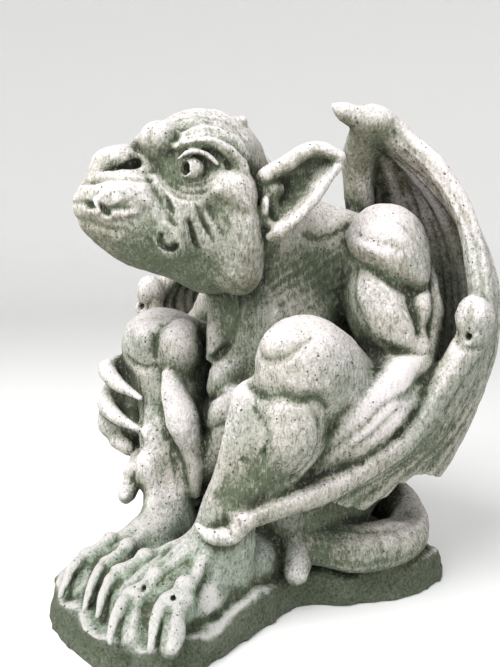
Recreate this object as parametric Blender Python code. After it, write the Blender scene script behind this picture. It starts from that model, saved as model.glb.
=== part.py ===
"""Winged gargoyle crouching on a rock, cast in one piece.

It faces -Y with its own left side towards +X and stands on the flat underside at Z = 0.
The figure is built up like clay: limbs, balls and sheets are laid over each other, fused into
one skin, smoothed, thinned to the facets that the form needs, and cut flat underneath.
Sizes are in millimetres and become metres as the clay is cast.
"""

import math

import bmesh
import bpy
import numpy as np
from mathutils import Matrix, Vector

MM = 0.001
LEFT = 1
RIGHT = -1

# The skin
FUSE_SIZE = 3.0  # clay lumps closer than this run together
SKIN_ROUNDS = 2  # smoothing passes over the fused skin
FACETS = 9400  # triangles kept
STONE_COLOUR = (0.56, 0.55, 0.49, 1.0)
STONE_ROUGHNESS = 0.92

# Place of the figure on the middle of its box
CENTRE = Vector((0.6, 22.8, 0.0))

# Rock
ROCK_TOP = 27.0
ROCK_CHAMFER = 6.0
ROCK_OUTLINE = (
    (118, 92), (117, 50), (92, 4), (66, -28), (66, -66), (72, -112), (73, -156), (54, -178),
    (10, -184), (-37, -181), (-66, -160), (-80, -118), (-82, -50), (-94, 10), (-98, 62),
    (-84, 104), (-34, 122), (30, 124), (82, 112),
)  # fmt: skip

# Trunk: centre, then half sizes
PELVIS = ((0, 36, 74), (66, 60, 54))
GROIN = ((0, -6, 76), (60, 44, 46))
BELLY = ((0, -8, 128), (48, 50, 54))
CHEST = ((0, 6, 214), (62, 50, 58))
UPPER_BACK = ((0, 42, 246), (78, 42, 50))
NECK = ((0, 30, 250, 54), (4, 2, 274, 50), (2, -24, 296, 46))

# Head: its middle, which way it looks, and its features as (ahead, aside, up) from the middle
HEAD_MIDDLE = Vector((0, -52, 315))
HEAD_TURN = math.radians(32)  # to the figure's right
CRANIUM = ((8, 0, 10), (47, 46, 50))
JAW = ((6, 0, -34), (41, 46, 45))
MUZZLE = ((25, 0, -24, 45), (54, 0, -21, 40), (76, 0, -14, 30), (91, 0, -11, 17))
NOSE = ((70, 0, 19), (17, 19, 14))
LIP = ((66, 19, -4), (24, 20, 17))
BROW = ((58, 6, 34, 9), (46, 24, 36, 11), (30, 38, 33, 10), (12, 46, 26, 8))
CHEEKBONE = ((-2, 42, 0), (19, 13, 16))
JAW_CORNER = ((36, 36, -38), (17, 12, 16))
EYE = ((23, 35, 13), 11)
HORN = ((-13, 17, 40, 8), (-18, 19, 47, 5))
EAR_TOP = ((-22, 42, 22), (-44, 54, 27), (-60, 58, 30), (-74, 62, 24))
EAR_HOLLOW = ((-22, 40, -8), (-42, 40, 0), (-58, 46, 9), (-74, 62, 22))
EAR_FOOT = ((-26, 46, -36), (-38, 56, -32), (-58, 60, -4), (-74, 62, 20))
EAR_WALL = 8.0

# Arms: knots are (x, y, z, radius)
TRAPEZIUS = ((16, 14, 280, 36), (54, 42, 268, 34))
DELTOID = ((82, 46, 270), (34, 35, 37))
LEFT_ARM = ((84, 46, 262, 32), (88, 38, 226, 31), (110, 44, 196, 24))
LEFT_FOREARM = ((112, 42, 194, 23), (104, 6, 160, 24), (84, -16, 126, 20), (62, -34, 104, 16))
LEFT_TRICEPS = ((104, 60, 244, 18), (118, 54, 214, 15))
RIGHT_ARM = ((-84, 46, 262, 30), (-92, 40, 228, 26), (-112, 30, 196, 21))
RIGHT_FOREARM = ((-112, 28, 194, 21), (-116, -14, 172, 19), (-112, -52, 154, 15))
RIGHT_HAND = ((-113, -54, 156, 17), (-112, -70, 144, 18), (-108, -78, 122, 17))
RIGHT_PALM = ((-98, -60, 130), (23, 23, 36))
RIGHT_FINGERS = (
    ((-114, -72, 168, 10), (-106, -86, 167, 9), (-86, -91, 160, 7), (-62, -84, 151, 3)),
    ((-113, -74, 142, 10), (-107, -89, 139, 9), (-86, -92, 131, 7), (-60, -83, 122, 3)),
    ((-108, -76, 120, 10), (-102, -88, 114, 9), (-84, -88, 105, 7), (-64, -84, 98, 3)),
)

# Legs
LEFT_THIGH = ((46, 50, 104, 50), (84, 2, 162, 45), (84, -32, 184, 38))
LEFT_KNEE = ((82, -46, 195), (35, 34, 33))
LEFT_SHIN = ((82, -44, 184, 35), (74, -54, 146, 36), (59, -72, 108, 28), (46, -86, 78, 22),
             (40, -84, 44, 23))  # fmt: skip
RIGHT_THIGH = ((-46, 50, 104, 50), (-82, 4, 160, 43), (-80, -36, 184, 36))
RIGHT_KNEE = ((-81, -49, 190), (35, 34, 33))
RIGHT_SHIN = ((-79, -46, 180, 34), (-63, -48, 142, 31), (-52, -60, 106, 27), (-42, -66, 76, 22),
              (-42, -76, 44, 23))  # fmt: skip
RIGHT_CALF = ((-50, -2, 84, 34), (-44, -34, 88, 28))  # pressed between shin and groin
HAUNCH = ((48, 14, 66), (34, 54, 44))
HEEL = ((38, -58, 38), (20, 34, 18))
LEFT_INSTEP = ((33, -114, 38), (34, 36, 20))
RIGHT_INSTEP = ((-26, -112, 36), (30, 36, 18))

# Toes: where their tendons start, then knuckle, second joint and claw tip for each
LEFT_ANKLE = (46, -86, 76)
RIGHT_ANKLE = (-38, -76, 58)
LEFT_TOES = (
    ((5, -128, 50), (-2, -148, 43), (15, -174, 30)),
    ((33, -140, 50), (31, -160, 43), (46, -185, 30)),
    ((56, -133, 50), (56, -149, 45), (70, -171, 30)),
)
TOE_PAD = (32, (9, 18, 12))  # height of its middle, then half sizes
RIGHT_TOES = (
    ((-19, -128, 50), (-21, -146, 43), (-1, -174, 30)),
    ((-37, -131, 50), (-42, -150, 43), (-26, -179, 30)),
    ((-46, -118, 43), (-52, -138, 37), (-42, -164, 28)),
)

# Wings: the leading edge from shoulder to tip, and the ribs that spread from the wrist to the hem
WING_WALL = 9.0
WRIST = (76, 32, 366, 13)
WING_ARM = ((30, 72, 266, 16), (46, 62, 304, 12), (54, 47, 342, 13), WRIST)
LEADING_EDGE = {
    LEFT: (WRIST, (89, 42, 363, 9), (101, 48, 350, 8), (117, 53, 335, 8), (131, 58, 314, 8),
           (143, 61, 290, 8), (151, 61, 264, 9), (156, 60, 237, 9), (157, 53, 214, 13),
           (143, 38, 180, 10), (123, 15, 136, 10), (94, -30, 105, 10), (56, -78, 86, 11)),
    RIGHT: (WRIST, (89, 42, 363, 9), (101, 48, 350, 8), (117, 53, 335, 8), (131, 57, 314, 8),
            (143, 49, 290, 8), (151, 36, 264, 9), (156, 18, 242, 9), (158, -2, 221, 13),
            (146, 2, 182, 10), (124, -10, 136, 10), (96, -48, 106, 10), (60, -88, 90, 11)),
}  # fmt: skip
OUTER_RIB = (WRIST, (116, 62, 324), (146, 78, 262), (152, 74, 208), (140, 54, 150), (100, -2, 84))
SECOND_RIB = (WRIST, (110, 78, 318), (136, 100, 262), (142, 104, 206), (136, 92, 150), (122, 68, 98))
THIRD_RIB = (WRIST, (94, 92, 318), (108, 122, 262), (110, 130, 206), (100, 130, 150), (82, 122, 88))
INNER_RIB = (WRIST, (62, 88, 322), (56, 116, 262), (56, 130, 206), (50, 132, 150), (36, 128, 78))
BACK_EDGE = (WRIST, (36, 74, 300), (6, 90, 262), (0, 98, 206), (0, 98, 150), (0, 104, 92))
THUMB_CLAW = ((74, 26, 368, 9), (66, 16, 373, 7), (60, 10, 378, 3))
TIP_CLAW = ((54, -82, 86, 11), (44, -90, 84, 7), (34, -94, 80, 3))

# Tail, from the rump round the left side to its drooping end
TAIL = ((10, 88, 54, 22), (40, 98, 54, 21), (70, 90, 51, 20), (92, 74, 44, 18), (102, 46, 43, 18),
        (92, 6, 45, 18), (70, -12, 47, 16), (62, -25, 46, 13), (71, -40, 33, 9))  # fmt: skip


def mirrored(knots, side):
    """The same knots on the other side of the figure's middle."""
    return [(side * knot[0], *knot[1:]) for knot in knots]


def smooth_line(knots, steps):
    """Points along the Catmull-Rom curve through the knots, with every column carried alike."""
    knots = np.array(knots, float)
    padded = np.vstack([2 * knots[0] - knots[1], knots, 2 * knots[-1] - knots[-2]])
    spans = len(knots) - 1
    at = np.linspace(0, spans, spans * steps + 1)
    span = np.minimum(at.astype(int), spans - 1)
    t = (at - span)[:, None]
    a, b, c, d = (padded[span + i] for i in range(4))
    return 0.5 * (2 * b + (c - a) * t + (2 * a - 5 * b + 4 * c - d) * t**2 + (3 * b - a - 3 * c + d) * t**3)


def ball(clay, centre, half_sizes, axes=Matrix.Identity(3)):
    """A lump with the given half sizes along its own axes."""
    if np.isscalar(half_sizes):
        half_sizes = (half_sizes,) * 3
    place = Matrix.Translation(centre) @ axes.to_4x4() @ Matrix.Diagonal((*half_sizes, 1))
    bmesh.ops.create_icosphere(clay, subdivisions=3, radius=1, matrix=place)


def limb(clay, knots, sides=16, steps=6):
    """A tapering round limb along a smooth line, closed at both ends by balls."""
    line = smooth_line(knots, steps)
    points = [Vector(row[:3]) for row in line]
    radii = [max(float(radius), 1.0) for radius in line[:, 3]]
    rings = []
    side = (points[1] - points[0]).orthogonal()
    for i, centre in enumerate(points):
        along = (points[min(i + 1, len(points) - 1)] - points[max(i - 1, 0)]).normalized()
        side = (side - along * side.dot(along)).normalized()
        across = along.cross(side)
        turns = (2 * math.pi * j / sides for j in range(sides))
        rings.append([
            clay.verts.new(centre + radii[i] * (math.cos(a) * side + math.sin(a) * across))
            for a in turns
        ])
    for lower, upper in zip(rings, rings[1:]):
        for j in range(sides):
            k = (j + 1) % sides
            clay.faces.new((lower[j], lower[k], upper[k], upper[j]))
    clay.faces.new(rings[0][::-1])
    clay.faces.new(rings[-1])
    ball(clay, points[0], radii[0])
    ball(clay, points[-1], radii[-1])


def sheet(clay, rows, wall):
    """A closed slab that follows a grid of points, half its wall to each side."""
    grid = np.array(rows, float)
    normal = np.cross(np.gradient(grid, axis=0), np.gradient(grid, axis=1))
    normal /= np.maximum(np.linalg.norm(normal, axis=2, keepdims=True), 1e-6)
    count, length = grid.shape[:2]
    faces_of = [
        [[clay.verts.new(point) for point in row] for row in grid + offset * wall / 2 * normal]
        for offset in (-1, 1)
    ]
    under, over = faces_of
    for i in range(count - 1):
        for j in range(length - 1):
            over_face = (over[i][j], over[i + 1][j], over[i + 1][j + 1], over[i][j + 1])
            under_face = (under[i][j], under[i][j + 1], under[i + 1][j + 1], under[i + 1][j])
            clay.faces.new(over_face)
            clay.faces.new(under_face)
    border = [(i, 0) for i in range(count)]
    border += [(count - 1, j) for j in range(1, length)]
    border += [(i, length - 1) for i in range(count - 2, -1, -1)]
    border += [(0, j) for j in range(length - 2, 0, -1)]
    for (i, j), (k, m) in zip(border, border[1:] + border[:1]):
        clay.faces.new((under[i][j], under[k][m], over[k][m], over[i][j]))


def fanned(ribs, across, along):
    """A grid of points over ribs that all start at one joint, smooth both ways."""
    lines = np.array([smooth_line([rib[:3] for rib in line], along) for line in ribs])
    columns = [smooth_line(lines[:, j], across) for j in range(1, lines.shape[1])]
    return np.array(columns)


def resampled(knots, count):
    """The knots of a line redrawn as a given number at even steps of length."""
    line = smooth_line(knots, 8)[:, :3]
    run = np.concatenate([[0], np.cumsum(np.linalg.norm(np.diff(line, axis=0), axis=1))])
    at = np.linspace(0, run[-1], count)
    return np.column_stack([np.interp(at, run, line[:, i]) for i in range(3)])


def head_axes():
    """The head's own axes as columns: ahead, to its left, up."""
    ahead = Vector((-math.sin(HEAD_TURN), -math.cos(HEAD_TURN), 0))
    up = Vector((0, 0, 1))
    return Matrix((ahead, up.cross(ahead), up)).transposed()


def on_head(knot, side=LEFT):
    """A head point (ahead, aside, up, ...) in the figure's frame, on either side of the face."""
    ahead, aside, up = knot[:3]
    place = HEAD_MIDDLE + head_axes() @ Vector((ahead, side * aside, up))
    return (*place, *knot[3:])


def add_rock(clay):
    """The slab under the figure: an uneven outline, drawn up with a chamfered top edge."""
    depth = 8.0  # below the cut that makes the underside
    outline = resampled([(*p, 0) for p in ROCK_OUTLINE + ROCK_OUTLINE[:1]], 72)[:-1]
    levels = ((-depth, 1.0), (ROCK_TOP - ROCK_CHAMFER, 1.0), (ROCK_TOP, 1 - ROCK_CHAMFER / 90))
    rings = [
        [clay.verts.new((x * share, y * share, level)) for x, y, _ in outline]
        for level, share in levels
    ]
    for lower, upper in zip(rings, rings[1:]):
        for j in range(len(lower)):
            k = (j + 1) % len(lower)
            clay.faces.new((lower[j], lower[k], upper[k], upper[j]))
    clay.faces.new(rings[0][::-1])
    clay.faces.new(rings[-1])


def add_trunk(clay):
    for centre, half_sizes in (PELVIS, GROIN, BELLY, CHEST, UPPER_BACK):
        ball(clay, centre, half_sizes)
    limb(clay, NECK)


def add_head(clay):
    """Skull, jaw, muzzle and the paired features on both sides of the face."""
    axes = head_axes()
    for centre, half_sizes in (CRANIUM, JAW, NOSE):
        ball(clay, on_head(centre), half_sizes, axes)
    limb(clay, [on_head(knot) for knot in MUZZLE])
    for side in (LEFT, RIGHT):
        for centre, half_sizes in (LIP, CHEEKBONE, JAW_CORNER):
            ball(clay, on_head(centre, side), half_sizes, axes)
        ball(clay, on_head(EYE[0], side), EYE[1])
        limb(clay, [on_head(knot, side) for knot in BROW])
        limb(clay, [on_head(knot, side) for knot in HORN])
        add_ear(clay, side)


def add_ear(clay, side):
    """A cupped leaf whose three long lines meet at the tip."""
    lines = [
        smooth_line([on_head(knot, side) for knot in line], 4)
        for line in (EAR_TOP, EAR_HOLLOW, EAR_FOOT)
    ]
    sheet(clay, [smooth_line([line[i] for line in lines], 4) for i in range(len(lines[0]))], EAR_WALL)


def add_arms(clay):
    for side in (LEFT, RIGHT):
        limb(clay, mirrored(TRAPEZIUS, side))
        centre, half_sizes = DELTOID
        ball(clay, mirrored([centre], side)[0], half_sizes)
    for knots in (LEFT_ARM, LEFT_FOREARM, LEFT_TRICEPS, RIGHT_ARM, RIGHT_FOREARM, RIGHT_HAND):
        limb(clay, knots)
    ball(clay, *RIGHT_PALM)
    for finger in RIGHT_FINGERS:
        limb(clay, finger, sides=10)


def add_legs(clay):
    for knots in (LEFT_THIGH, LEFT_SHIN, RIGHT_THIGH, RIGHT_SHIN, RIGHT_CALF):
        limb(clay, knots)
    for centre, half_sizes in (LEFT_KNEE, RIGHT_KNEE, LEFT_INSTEP, RIGHT_INSTEP):
        ball(clay, centre, half_sizes)
    for side, toes, ankle in ((LEFT, LEFT_TOES, LEFT_ANKLE), (RIGHT, RIGHT_TOES, RIGHT_ANKLE)):
        for centre, half_sizes in (HAUNCH, HEEL):
            ball(clay, mirrored([centre], side)[0], half_sizes)
        for knuckle, joint, tip in toes:
            limb(clay, ((*ankle, 11), (*knuckle, 8)), sides=12)
            limb(clay, ((*knuckle, 9), (*joint, 8), (*tip, 3)), sides=12)
            pad = Vector(joint) * 0.5 + Vector(knuckle) * 0.5
            ball(clay, (pad.x, pad.y, TOE_PAD[0]), TOE_PAD[1])


def add_wing(clay, side):
    """Arm bone, leading edge and claws, with the skin stretched over the ribs behind them."""
    edge = LEADING_EDGE[side]
    limb(clay, mirrored(WING_ARM, side), sides=12)
    limb(clay, mirrored(edge, side), sides=12)
    limb(clay, mirrored(THUMB_CLAW, side), sides=10)
    tip_claw = [np.add(knot, (*np.subtract(edge[-1][:3], TIP_CLAW[0][:3]), 0)) for knot in TIP_CLAW]
    limb(clay, mirrored(tip_claw, side), sides=10)
    ribs = [resampled([knot[:3] for knot in line], 15)
            for line in (BACK_EDGE, INNER_RIB, THIRD_RIB, SECOND_RIB, OUTER_RIB, edge)]
    sheet(clay, fanned([mirrored(rib, side) for rib in ribs], 3, 2), WING_WALL)


def add_tail(clay):
    limb(clay, TAIL)


def stone():
    material = bpy.data.materials.new("stone")
    material.use_nodes = True
    shader = material.node_tree.nodes["Principled BSDF"]
    shader.inputs["Base Color"].default_value = STONE_COLOUR
    shader.inputs["Roughness"].default_value = STONE_ROUGHNESS
    return material


def flat_cutter(reach):
    """A block whose top face is the plane that the underside is cut to."""
    mesh = bpy.data.meshes.new("underside_cutter")
    block = bmesh.new()
    place = Matrix.Translation((0, 0, -reach / 2)) @ Matrix.Diagonal((2 * reach, 2 * reach, reach, 1))
    bmesh.ops.create_cube(block, size=1, matrix=place)
    block.to_mesh(mesh)
    block.free()
    cutter = bpy.data.objects.new("underside_cutter", mesh)
    cutter.hide_render = True
    cutter.display_type = "WIRE"
    bpy.context.collection.objects.link(cutter)
    return cutter


def cast(clay):
    """One object of all the clay, fused, smoothed, thinned and cut flat."""
    bmesh.ops.recalc_face_normals(clay, faces=clay.faces)
    bmesh.ops.translate(clay, verts=clay.verts, vec=CENTRE)
    bmesh.ops.scale(clay, verts=clay.verts, vec=(MM, MM, MM))
    mesh = bpy.data.meshes.new("gargoyle")
    clay.to_mesh(mesh)
    mesh.materials.append(stone())
    gargoyle = bpy.data.objects.new("gargoyle", mesh)
    bpy.context.collection.objects.link(gargoyle)

    fuse = gargoyle.modifiers.new("fuse", "REMESH")
    fuse.mode = "VOXEL"
    fuse.voxel_size = FUSE_SIZE * MM
    soften = gargoyle.modifiers.new("soften", "SMOOTH")
    soften.factor = 0.5
    soften.iterations = SKIN_ROUNDS
    thin = gargoyle.modifiers.new("thin", "DECIMATE")
    thin.ratio = 1.0
    thin.use_collapse_triangulate = True
    evaluated = gargoyle.evaluated_get(bpy.context.evaluated_depsgraph_get())
    thin.ratio = FACETS / sum(len(face.vertices) - 2 for face in evaluated.data.polygons)
    cut = gargoyle.modifiers.new("cut_flat", "BOOLEAN")
    cut.operation = "DIFFERENCE"
    cut.object = flat_cutter(1.0)
    return gargoyle


def main():
    for old in list(bpy.data.objects):
        bpy.data.objects.remove(old)
    clay = bmesh.new()
    add_rock(clay)
    add_trunk(clay)
    add_head(clay)
    add_arms(clay)
    add_legs(clay)
    for side in (LEFT, RIGHT):
        add_wing(clay, side)
    add_tail(clay)
    cast(clay)
    clay.free()


main()
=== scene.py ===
"""Winged gargoyle in cast stone: its fine carving, its weathered finish and the studio around it.

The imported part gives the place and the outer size. The carving is worked out as one block of
clay: a grid that holds, at each cell, how far the skin is. Limbs, balls and stretched skins are
laid on it with soft joins, creases and ridges are drawn over the skin, and the skin is then taken
off as one closed mesh. Sizes in the carving are millimetres in the figure's own frame: it faces
-Y, its left side is +X, and it stands on Z = 0.
"""

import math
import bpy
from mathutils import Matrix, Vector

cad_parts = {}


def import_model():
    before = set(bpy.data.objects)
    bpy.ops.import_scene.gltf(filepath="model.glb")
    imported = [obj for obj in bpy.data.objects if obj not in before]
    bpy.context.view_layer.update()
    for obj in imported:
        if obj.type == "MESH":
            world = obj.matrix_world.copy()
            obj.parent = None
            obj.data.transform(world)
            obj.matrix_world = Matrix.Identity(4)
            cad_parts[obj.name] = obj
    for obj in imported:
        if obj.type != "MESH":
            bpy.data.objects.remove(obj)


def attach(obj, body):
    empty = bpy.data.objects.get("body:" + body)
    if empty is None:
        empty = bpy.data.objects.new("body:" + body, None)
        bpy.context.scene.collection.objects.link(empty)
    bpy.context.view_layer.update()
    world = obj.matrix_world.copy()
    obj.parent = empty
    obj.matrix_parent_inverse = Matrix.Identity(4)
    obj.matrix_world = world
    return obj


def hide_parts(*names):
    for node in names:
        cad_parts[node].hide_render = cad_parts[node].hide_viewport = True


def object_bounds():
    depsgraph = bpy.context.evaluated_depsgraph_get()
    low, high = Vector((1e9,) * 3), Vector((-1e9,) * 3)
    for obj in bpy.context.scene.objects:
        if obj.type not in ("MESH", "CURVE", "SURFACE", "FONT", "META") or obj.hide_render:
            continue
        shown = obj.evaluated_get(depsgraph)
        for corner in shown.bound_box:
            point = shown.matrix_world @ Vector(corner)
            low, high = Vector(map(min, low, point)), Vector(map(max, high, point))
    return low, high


bl_info = {
    "name": "Cast stone gargoyle",
    "version": (1, 0, 0),
    "blender": (4, 5, 0),
    "location": "3D Viewport > Sidebar > Gargoyle",
    "description": "Carves and weathers a winged garden gargoyle and sets it in a plain studio",
    "category": "Add Mesh",
}

import bpy
import numpy as np
import openvdb
from mathutils import Matrix, Vector

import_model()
cad_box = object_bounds()

MM = 0.001
LEFT, RIGHT = 1, -1
BOTH = (LEFT, RIGHT)

# Place of the figure's frame in the part's frame
CENTRE = np.array((0.6, 22.8, 0.0))

# Block of clay that holds the whole figure
BLOCK_LOW = (-178, -198, -8)
BLOCK_HIGH = (178, 148, 388)
FAR = 40.0  # gap where nothing is near

# Strokes: least half width, and how many half widths away a stroke still cuts
THINNEST_STROKE = 0.3
STROKE_REACH = 2.3

# Skin: its gap inside the part's outer box, what is set level at the underside, the face's place
BOX_GAP = 0.2
LEVEL_WITHIN = 0.4
FACE_AHEAD = 30
# Reaches at which folds and shut-in places are read
FOLD_REACH, NEAR_REACH, FAR_REACH = 2.6, 6.0, 16.0

# Head frame
HEAD_MIDDLE = np.array((0.0, -52.0, 315.0))
HEAD_TURN = math.radians(32)
AHEAD = np.array((-math.sin(HEAD_TURN), -math.cos(HEAD_TURN), 0.0))
UPWARD = np.array((0.0, 0.0, 1.0))
HEAD_AXES = np.column_stack((AHEAD, np.cross(UPWARD, AHEAD), UPWARD))

# Body: ellipsoids as (centre, half sizes), limbs as (x, y, z, radius)
TRUNK = (
    ((0, 36, 74), (66, 60, 54)),
    ((0, -6, 76), (58, 42, 45)),
    ((0, -6, 128), (46, 48, 53)),
    ((0, 4, 214), (60, 47, 57)),
    ((0, 42, 246), (78, 42, 50)),
)
NECK = ((0, 30, 250, 54), (4, 2, 274, 49), (2, -24, 296, 44))
TRAPEZIUS = ((16, 14, 280, 34), (54, 42, 268, 33))
SHOULDER = ((84, 44, 270), (33, 35, 36))
ARM_LIMBS = (
    ((84, 46, 262, 32), (88, 38, 226, 29), (108, 40, 196, 22)),
    ((90, 34, 276, 29), (98, 38, 264, 25), (110, 40, 252, 14), (117, 42, 243, 6)),
    ((82, 24, 252, 11), (92, 22, 238, 19), (102, 22, 221, 19), (113, 24, 206, 13), (120, 28, 198, 7)),
    ((106, 50, 250, 12), (116, 42, 238, 9), (118, 40, 227, 10), (119, 38, 214, 6)),
    ((104, 60, 250, 14), (117, 54, 238, 9), (118, 52, 224, 12), (120, 48, 208, 10), (124, 42, 196, 7)),
    ((121, 32, 192, 13), (123, 30, 190, 12)),
    ((114, 36, 194, 20), (113, 8, 161, 19), (99, -12, 136, 17), (79, -26, 116, 14), (66, -36, 104, 11)),
    ((120, 26, 194, 9), (122, 4, 178, 12), (112, -16, 155, 12), (97, -32, 134, 10), (82, -40, 118, 7)),
    ((-84, 46, 262, 30), (-92, 40, 228, 26), (-112, 30, 196, 21)),
    ((-112, 28, 194, 21), (-116, -14, 172, 18), (-112, -52, 154, 14)),
    ((-113, -54, 156, 16), (-112, -70, 144, 17), (-108, -78, 122, 16)),
)
RIGHT_PALM = (((-98, -60, 130), (23, 23, 36)), ((-106, -66, 146), (14, 17, 36)))
RIGHT_FINGERS = (
    ((-112, -72, 170, 9.5), (-106, -86, 169, 8.5), (-86, -90, 161, 6.2), (-63, -83, 151, 2.2)),
    ((-111, -74, 143, 9.5), (-106, -88, 141, 8.5), (-86, -92, 133, 6.2), (-58, -84, 124, 2.2)),
    ((-108, -74, 118, 9.5), (-100, -82, 110, 8.5), (-88, -80, 104, 7)),
)
THIGHS = (
    ((46, 50, 104, 50), (76, 2, 158, 36), (83, -32, 185, 34)),
    ((-46, 50, 104, 50), (-80, 4, 160, 40), (-80, -36, 184, 34)),
)
SHINS = (
    ((80, -44, 186, 32), (70, -58, 148, 28), (56, -75, 110, 23), (45, -87, 78, 20), (40, -84, 44, 22)),
    ((84, -64, 168, 14), (84, -62, 146, 21), (71, -60, 126, 21), (58, -70, 104, 17), (48, -82, 84, 12)),
    (
        (58, -74, 168, 14), (56, -80, 140, 14), (50, -86, 112, 12), (43, -90, 90, 10.5), (39, -94, 70, 12),
        (37, -100, 56, 13),
    ),
    ((-79, -46, 180, 33), (-64, -46, 142, 29), (-54, -58, 106, 24), (-43, -66, 76, 20), (-42, -76, 44, 22)),
    (
        (-54, -56, 176, 12), (-46, -58, 154, 14), (-38, -56, 134, 14), (-32, -56, 116, 11),
        (-28, -60, 98, 8), (-25, -62, 82, 5),
    ),
    ((-74, -60, 172, 16), (-68, -62, 146, 15), (-58, -72, 116, 13), (-46, -80, 86, 11), (-38, -88, 66, 10)),
    ((-50, -2, 84, 34), (-44, -34, 88, 28)),
)
KNEES = (((82, -46, 195), (34, 33, 32)), ((-81, -49, 190), (34, 33, 32)))
HAUNCH = ((48, 14, 66), (34, 54, 44))
HEEL = ((38, -58, 38), (20, 34, 18))
INSTEP = {LEFT: ((33, -114, 34), (31, 33, 19)), RIGHT: ((26, -112, 33), (28, 34, 17))}
FOOT_TOP = {
    LEFT: ((44, -86, 64, 21), (35, -106, 48, 22), (31, -126, 37, 17), (33, -146, 30, 13)),
    RIGHT: ((37, -76, 54, 18), (32, -102, 44, 19), (29, -124, 36, 15), (28, -144, 30, 12)),
}
ANKLE = {LEFT: np.array((46, -86, 74)), RIGHT: np.array((38, -76, 58))}
TOE_SHIFT = {LEFT: 8, RIGHT: -5}  # how far the pad under a toe lies beside its claw
TOES = {
    LEFT: (
        ((5, -128, 50), (-2, -148, 43), (15, -174, 30)),
        ((33, -140, 50), (31, -160, 43), (46, -185, 30)),
        ((56, -133, 50), (56, -149, 45), (70, -171, 30)),
    ),
    RIGHT: (
        ((19, -128, 50), (21, -146, 43), (1, -174, 30)),
        ((37, -131, 50), (42, -150, 43), (26, -179, 30)),
        ((46, -118, 43), (52, -138, 37), (42, -164, 28)),
    ),
}
TAIL = (
    (10, 88, 54, 22), (40, 98, 54, 21), (70, 90, 51, 20), (92, 74, 44, 18), (102, 46, 43, 18),
    (92, 6, 45, 18), (70, -12, 47, 16), (62, -25, 46, 13), (71, -40, 33, 9),
)
ROCK_OUTLINE = (
    (118, 92), (117, 50), (92, 4), (66, -28), (66, -66), (72, -112), (73, -156), (54, -178),
    (10, -184), (-37, -181), (-66, -160), (-80, -118), (-82, -50), (-94, 10), (-98, 62), (-84, 104),
    (-34, 122), (30, 124), (82, 112),
)

# Wings: ribs fan out from the wrist, and the leading edge carries a radius
WRIST = (76, 32, 366)
WING_ARM = ((30, 72, 266, 16), (46, 62, 304, 12), (54, 47, 342, 12.5), (*WRIST, 12.5))
LOWER_EDGE = {
    LEFT: (
        (157, 53, 214, 10.5), (143, 38, 180, 10.5), (123, 15, 136, 10.5), (95, -32, 105, 10.5),
        (67, -88, 91, 10),
    ),
    RIGHT: (
        (157, -2, 221, 10.5), (146, 2, 182, 10), (124, -10, 136, 10), (96, -48, 106, 10),
        (60, -88, 90, 10.5),
    ),
}
UPPER_EDGE = ((*WRIST, 12.5), (89, 42, 363, 8.5), (101, 48, 350, 7.5), (117, 53, 335, 7.5))
WING_EDGE = {
    LEFT: UPPER_EDGE
    + ((131, 58, 314, 7.5), (143, 61, 290, 7.5), (151, 61, 264, 8.5), (156, 60, 237, 8.5))
    + LOWER_EDGE[LEFT],
    RIGHT: UPPER_EDGE
    + ((131, 57, 314, 7.5), (143, 49, 290, 7.5), (151, 36, 264, 8.5), (156, 18, 242, 8.5))
    + LOWER_EDGE[RIGHT],
}
OUTER_RIB = (WRIST, (116, 62, 324), (146, 78, 262), (152, 74, 208), (140, 54, 150), (100, -2, 84))
SECOND_RIB = (WRIST, (110, 78, 318), (136, 100, 262), (142, 104, 206), (136, 92, 150), (122, 68, 98))
THIRD_RIB = (WRIST, (94, 92, 318), (108, 122, 262), (110, 130, 206), (100, 130, 150), (82, 122, 88))
INNER_RIB = (WRIST, (62, 88, 322), (56, 116, 262), (56, 130, 206), (50, 132, 150), (36, 128, 78))
BACK_EDGE = (WRIST, (36, 74, 300), (6, 90, 262), (0, 98, 206), (0, 98, 150), (0, 104, 92))
THUMB_CLAW = ((74, 26, 368, 9), (66, 16, 373, 7), (60, 10, 377.5, 2.6))
WING_CLAW = (
    (1, -4, -5, 7.5), (-3, -12, -11, 7.5), (-9, -19, -13, 5.8), (-15, -23, -11, 3.8), (-21, -26, -6, 1.6),
)

# Head, in its own frame: ahead, aside, up
SKULL = (((8, 0, 10), (45, 44, 49)), ((22, 0, 15), (36, 34, 41)), ((6, 0, -34), (39, 43, 43)))
MUZZLE = ((25, 0, -24, 42), (54, 0, -21, 37), (76, 0, -14, 29), (91, 0, -11, 16))
EAR_LINES = (
    ((-26, 43, 7), (-37, 49, 14), (-49, 55, 22), (-60, 58, 25), (-75, 62, 20)),
    ((-26, 37, 1), (-38, 37.5, 7), (-50, 42, 14), (-61, 48.5, 18), (-75, 61, 19)),
    ((-26, 34, -9), (-38, 34.5, -5), (-50, 39.5, 2), (-62, 49, 9), (-75, 61, 17)),
    ((-27, 38, -22), (-38, 41, -18), (-50, 47, -9), (-62, 55, 3), (-74, 61.5, 15)),
    ((-29, 46, -34), (-38, 53, -29), (-49, 57, -19), (-62, 60, -4), (-73, 62, 13)),
)
NOSTRIL_WING = (
    (92, 10, 4, 3), (84, 17, 7, 3.8), (75, 21, 6.8, 4), (65, 23, 7, 4.2), (57, 22.5, 10, 4.6),
    (53.5, 20, 16, 4.8), (57, 17, 21.5, 4.4),
)
EYE_LID_ABOVE = (
    (36.5, 40, 14, 1.0), (34.5, 41.5, 17.5, 1.6), (30, 43.8, 21, 2.0), (23.5, 45.2, 22.6, 2.1),
    (17, 45.8, 21.2, 2.0), (12, 46, 17.8, 1.8), (8.5, 46, 14, 1.3),
)
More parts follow.
